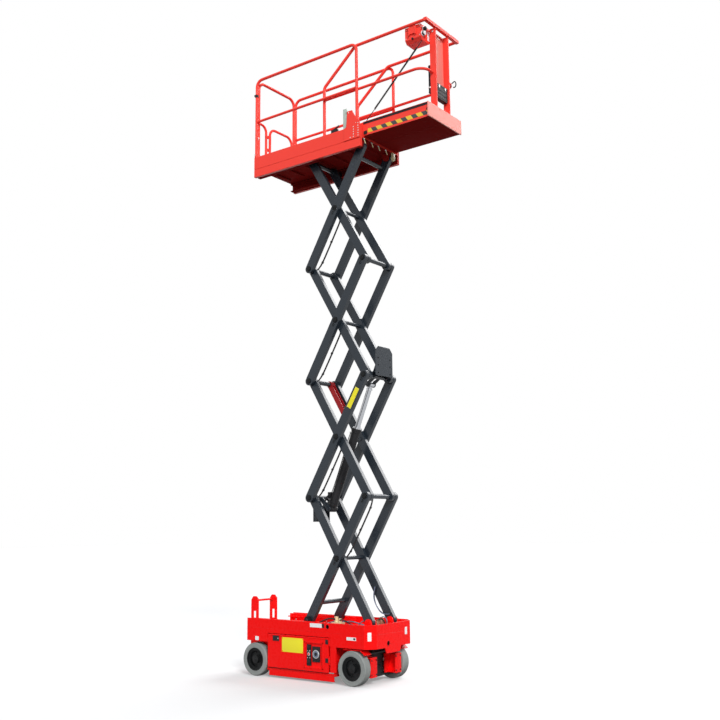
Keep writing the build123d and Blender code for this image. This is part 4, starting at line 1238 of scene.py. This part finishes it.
def roll_out_sides():
    """Bands and trim along the roll-out deck's sides, with a dark strip under the top flange as its painted
    shadow; its front panel in a pale painted sheen, rivets and bolts.
    """
    for s, name in ((-1, "near_side"), (1, "far_side")):
        trim = Piece("roll_out_%s_trim" % name, "extension", "hazard_bands", "black_plastic", "rail_red")
        for skin, x0, x1, rise, z0, z1, soft in SIDE_TRIM:
            trim.use(skin).box(x0, x1, s * (EXT_HALF - SUNK), s * (EXT_HALF + rise), z0, z1, soft)
        trim.keep()
    # The front panel's pale coral is a painted sheen of the light from ahead
    front = Piece("front_panel", "extension", "pale_coral", "rail_red")
    front.box(FRAME_X + 5.5, FRAME_X + 7.6, -117, 117, 6088, 6694, 0.6)
    front.use("rail_red").box(FRAME_X + 5.5, FRAME_X + 14, -117, 117, 6676, 6694, 2)
    front.keep()
    rivets = [((EXT_FRONT, y, z), AHEAD) for y in (-300, -100, 100, 300) for z in (5662, 5784)]
    # The toe's rivets share its painted sheen
    fixings("toe_rivets", "extension", RIVETS, rivets, 5, 3, "pale_coral")
    bolts = [((FRAME_X + 40, s * 132, z), (0, s, 0)) for s in SIDES for z in (5720, 5800, 6660)]
    fixings("frame_bolts", "extension", BOLTS, bolts, 8, 6)


def control_parts():
    """Dials, lever boot, stop button, switch and hangers of the control box."""
    x1 = 1430
    z1 = 6702
    box = Piece("control_box_parts", "extension", "black_plastic", "white_plate", "zinc", "rail_red",
                "signal_red")
    for y, z, r, skin in ((-228, 6662, 20, "black_plastic"), (-248, 6602, 22, "white_plate")):
        box.use("white_plate").lathe((x1 - 0.5, y, z), AHEAD, [(0, r + 9), (3.5, r + 9), (5.5, r + 5)], 32)
        box.use(skin).lathe((x1 + 24, y, z), AHEAD, [(0, r), (3, r + 2), (7, r), (9, r - 5), (10, 3)], 28)
    box.use("white_plate").box(x1 - 0.5, x1 + 2, -160, -112, 6560, 6660, 1)
    box.use("black_plastic").box(1236, 1429, -289, -94, z1 - 36, z1 - 32, 1)
    box.lathe((1330, -287.5, 6562), RIGHT, [(0, 13), (3, 13), (5, 9), (12, 10), (14, 6)])
    boot = [(0, 34)]
    for i in range(5):
        boot += [(4 + 6 * i, 32 - 3.4 * i), (7 + 6 * i, 27 - 3.4 * i)]
    box.lathe((1345, -190, z1 - 1), UP, boot + [(34, 12)], 28)
    box.rod((1270, -230, z1 + 10), (1276, -230, z1 + 32), 5)
    stop = [(0, 12), (8, 12), (8, 20), (17, 21), (23, 16), (24.5, 3)]
    box.use("signal_red").lathe((1270, -150, z1 - 1), UP, stop)
    box.use("zinc").rod((1270, -230, z1 - 1), (1270, -230, z1 + 12), 8)
    for x in (1288, 1364):
        box.use("rail_red").box(x, x + 14, -308, -286, 6600, 6690, 2)
    box.keep()
    screws = [((x, -288, z), RIGHT) for x in (1246, 1418) for z in (6582, 6690)]
    screws += [((1235, y, z), BACK) for y in (-276, -108) for z in (6582, 6690)]
    fixings("control_box_screws", "extension", RIVETS, screws, 5, 3)


CORD_START = Vector((1420, -250, 6527.4))
CORD_WHOLE = Vector((660, -280, 5770)) - CORD_START
CORD_R = 4.0
COIL_R = 0.0068
COIL_TURNS = 78
COIL_STEPS = 12
COIL_SPAN = (0.085, 0.795)


def cord_route():
    """Points along the solid's route, in metres, and how far each is from the start."""
    route = [spot(*(CORD_START + CORD_WHOLE * share)) for share in (0.0, 0.08, 0.44, 0.80, 1.0)]
    mesh = bake(show(line("control_cord_route", route, steps=60), "control_cord_route"), "control_cord_route")
    points = [v.co.copy() for v in mesh.vertices]
    bpy.data.meshes.remove(mesh)
    reach = [0.0]
    for p, q in zip(points, points[1:]):
        reach.append(reach[-1] + (q - p).length)
    return points, reach


def curly_cord():
    """The control cord: thin leads and a curly run along the route of the solid."""
    points, reach = cord_route()
    first = points[0]
    chord = points[-1] - first
    axis = chord.normalized()
    side = axis.orthogonal().normalized()
    other = axis.cross(side)
    ease = side * 0.0034
    coil = [first, first + chord * 0.03, first + chord * 0.055, first + chord * 0.072 + ease]
    begin, done = [share * reach[-1] for share in COIL_SPAN]
    steps = COIL_TURNS * COIL_STEPS
    step = 0
    for i in range(steps + 1):
        s = begin + (done - begin) * i / steps
        while step < len(reach) - 2 and reach[step + 1] < s:
            step += 1
        share = (s - reach[step]) / (reach[step + 1] - reach[step])
        middle = points[step].lerp(points[step + 1], share)
        t = 2 * math.pi * i / COIL_STEPS
        coil.append(middle + (side * math.cos(t) + other * math.sin(t)) * COIL_R)
    coil.append(first + chord * 0.808 + ease)
    coil += [first + chord * share for share in (0.83, 0.90, 0.96, 1.0)]
    curve = line("curly_cord", coil, CORD_R, 2, 2)
    curve.materials.append(finish["hose_rubber"])
    cord = show(curve, "curly_cord")
    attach(cord, "extension")
    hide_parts("control_cord")
    end = Piece("cord_socket", "extension", "black_plastic", "zinc")
    end.box(645, 675, -295, -268, 5740, 5790, 4)
    end.lathe(CORD_START + CORD_WHOLE * 0.985, -CORD_WHOLE, [(0, 11), (6, 11), (8, 8), (24, 7), (32, 5)])
    end.use("zinc").rod((652, -268, 5750), (652, -265, 5750), 5)
    end.keep()


def front_fittings():
    """A capped tube with its straps, the manual box's lid and ribs, the rail hook and the lanyard eyes."""
    parts = Piece("front_fittings", "extension", "black_plastic", "zinc")
    tube = [(0, 18), (4, 22), (14, 22), (15, 20.5), (290, 20.5), (291, 23), (304, 23), (308, 19)]
    parts.lathe((1414, -90, 6000), UP, tube, 28).box(1445, 1503, -103, 103, 6074, 6090, 4)
    for z in (5945, 5985, 6025):
        parts.box(1499, 1502.5, -92, 92, z, z + 8, 1.5)
    parts.use("zinc")
    for z in (6050, 6240):
        parts.ring((1414, -90, z), (1414, -90, z + 16), 20.3, 23.5, 28)
        parts.box(1434, 1441, -104, -76, z, z + 16, 1.5)
    for y in (-60, 60):
        parts.box(1499, 1504, y - 10, y + 10, 6052, 6082, 1.5)
    parts.keep()
    hook = [(1456, 250, 6216), (1474, 254, 6226), (1496, 258, 6244), (1512, 262, 6226), (1512, 264, 6192),
            (1494, 264, 6172), (1478, 262, 6180)]
    hose("rail_hook", "extension", hook, 6)
    eyes = Piece("lanyard_eyes", "extension", "yellow_plate")
    for y in (-282, 282):
        for x in (760, 1330):
            eyes.box(x - 18, x + 18, y - 4, y + 4, 5656, 5662, 1)
            eyes.ring((x, y - 4, 5678), (x, y + 4, 5678), 10, 18, 24)
    eyes.keep()


def deck_front():
    """A cream bracket, a stub and four slanted stays at the main deck's front edge."""
    ends = Piece("deck_front_parts", "platform", "cream_enamel", "zinc")
    outline = [(0, 0), (46, 0), (46, -66), (26, -98), (0, -80)]
    ends.sheet(outline, 24, (676, 218, 5622), LEFT, UP, 4).rod((672, 240, 5560), (712, 240, 5560), 17)
    for y in (-286, -147, -21, 116):
        ends.use("cream_enamel").rod((682, y - 10, 5626), (686, y + 18, 5572), 5)
        ends.use("zinc").rod((680, y - 10, 5618), (690, y - 10, 5618), 8)
    ends.keep()


for make in (pivot_details, chassis_plates, gap_painted_shade, tie_rings, door_fittings, ground_panel, ladder_parts,
             rear_face, guard_parts, wheel_parts, steering_parts, rear_axle_parts, arm_cables, foot_hoses,
             arm_plates, arm_welds, cylinder_parts, prop_parts, guide_parts, well_parts, deck_underside,
             tread_floors, rail_sockets, lock_parts, gate_parts, roll_out_sides, control_parts, curly_cord,
             front_fittings, deck_front):
    make()
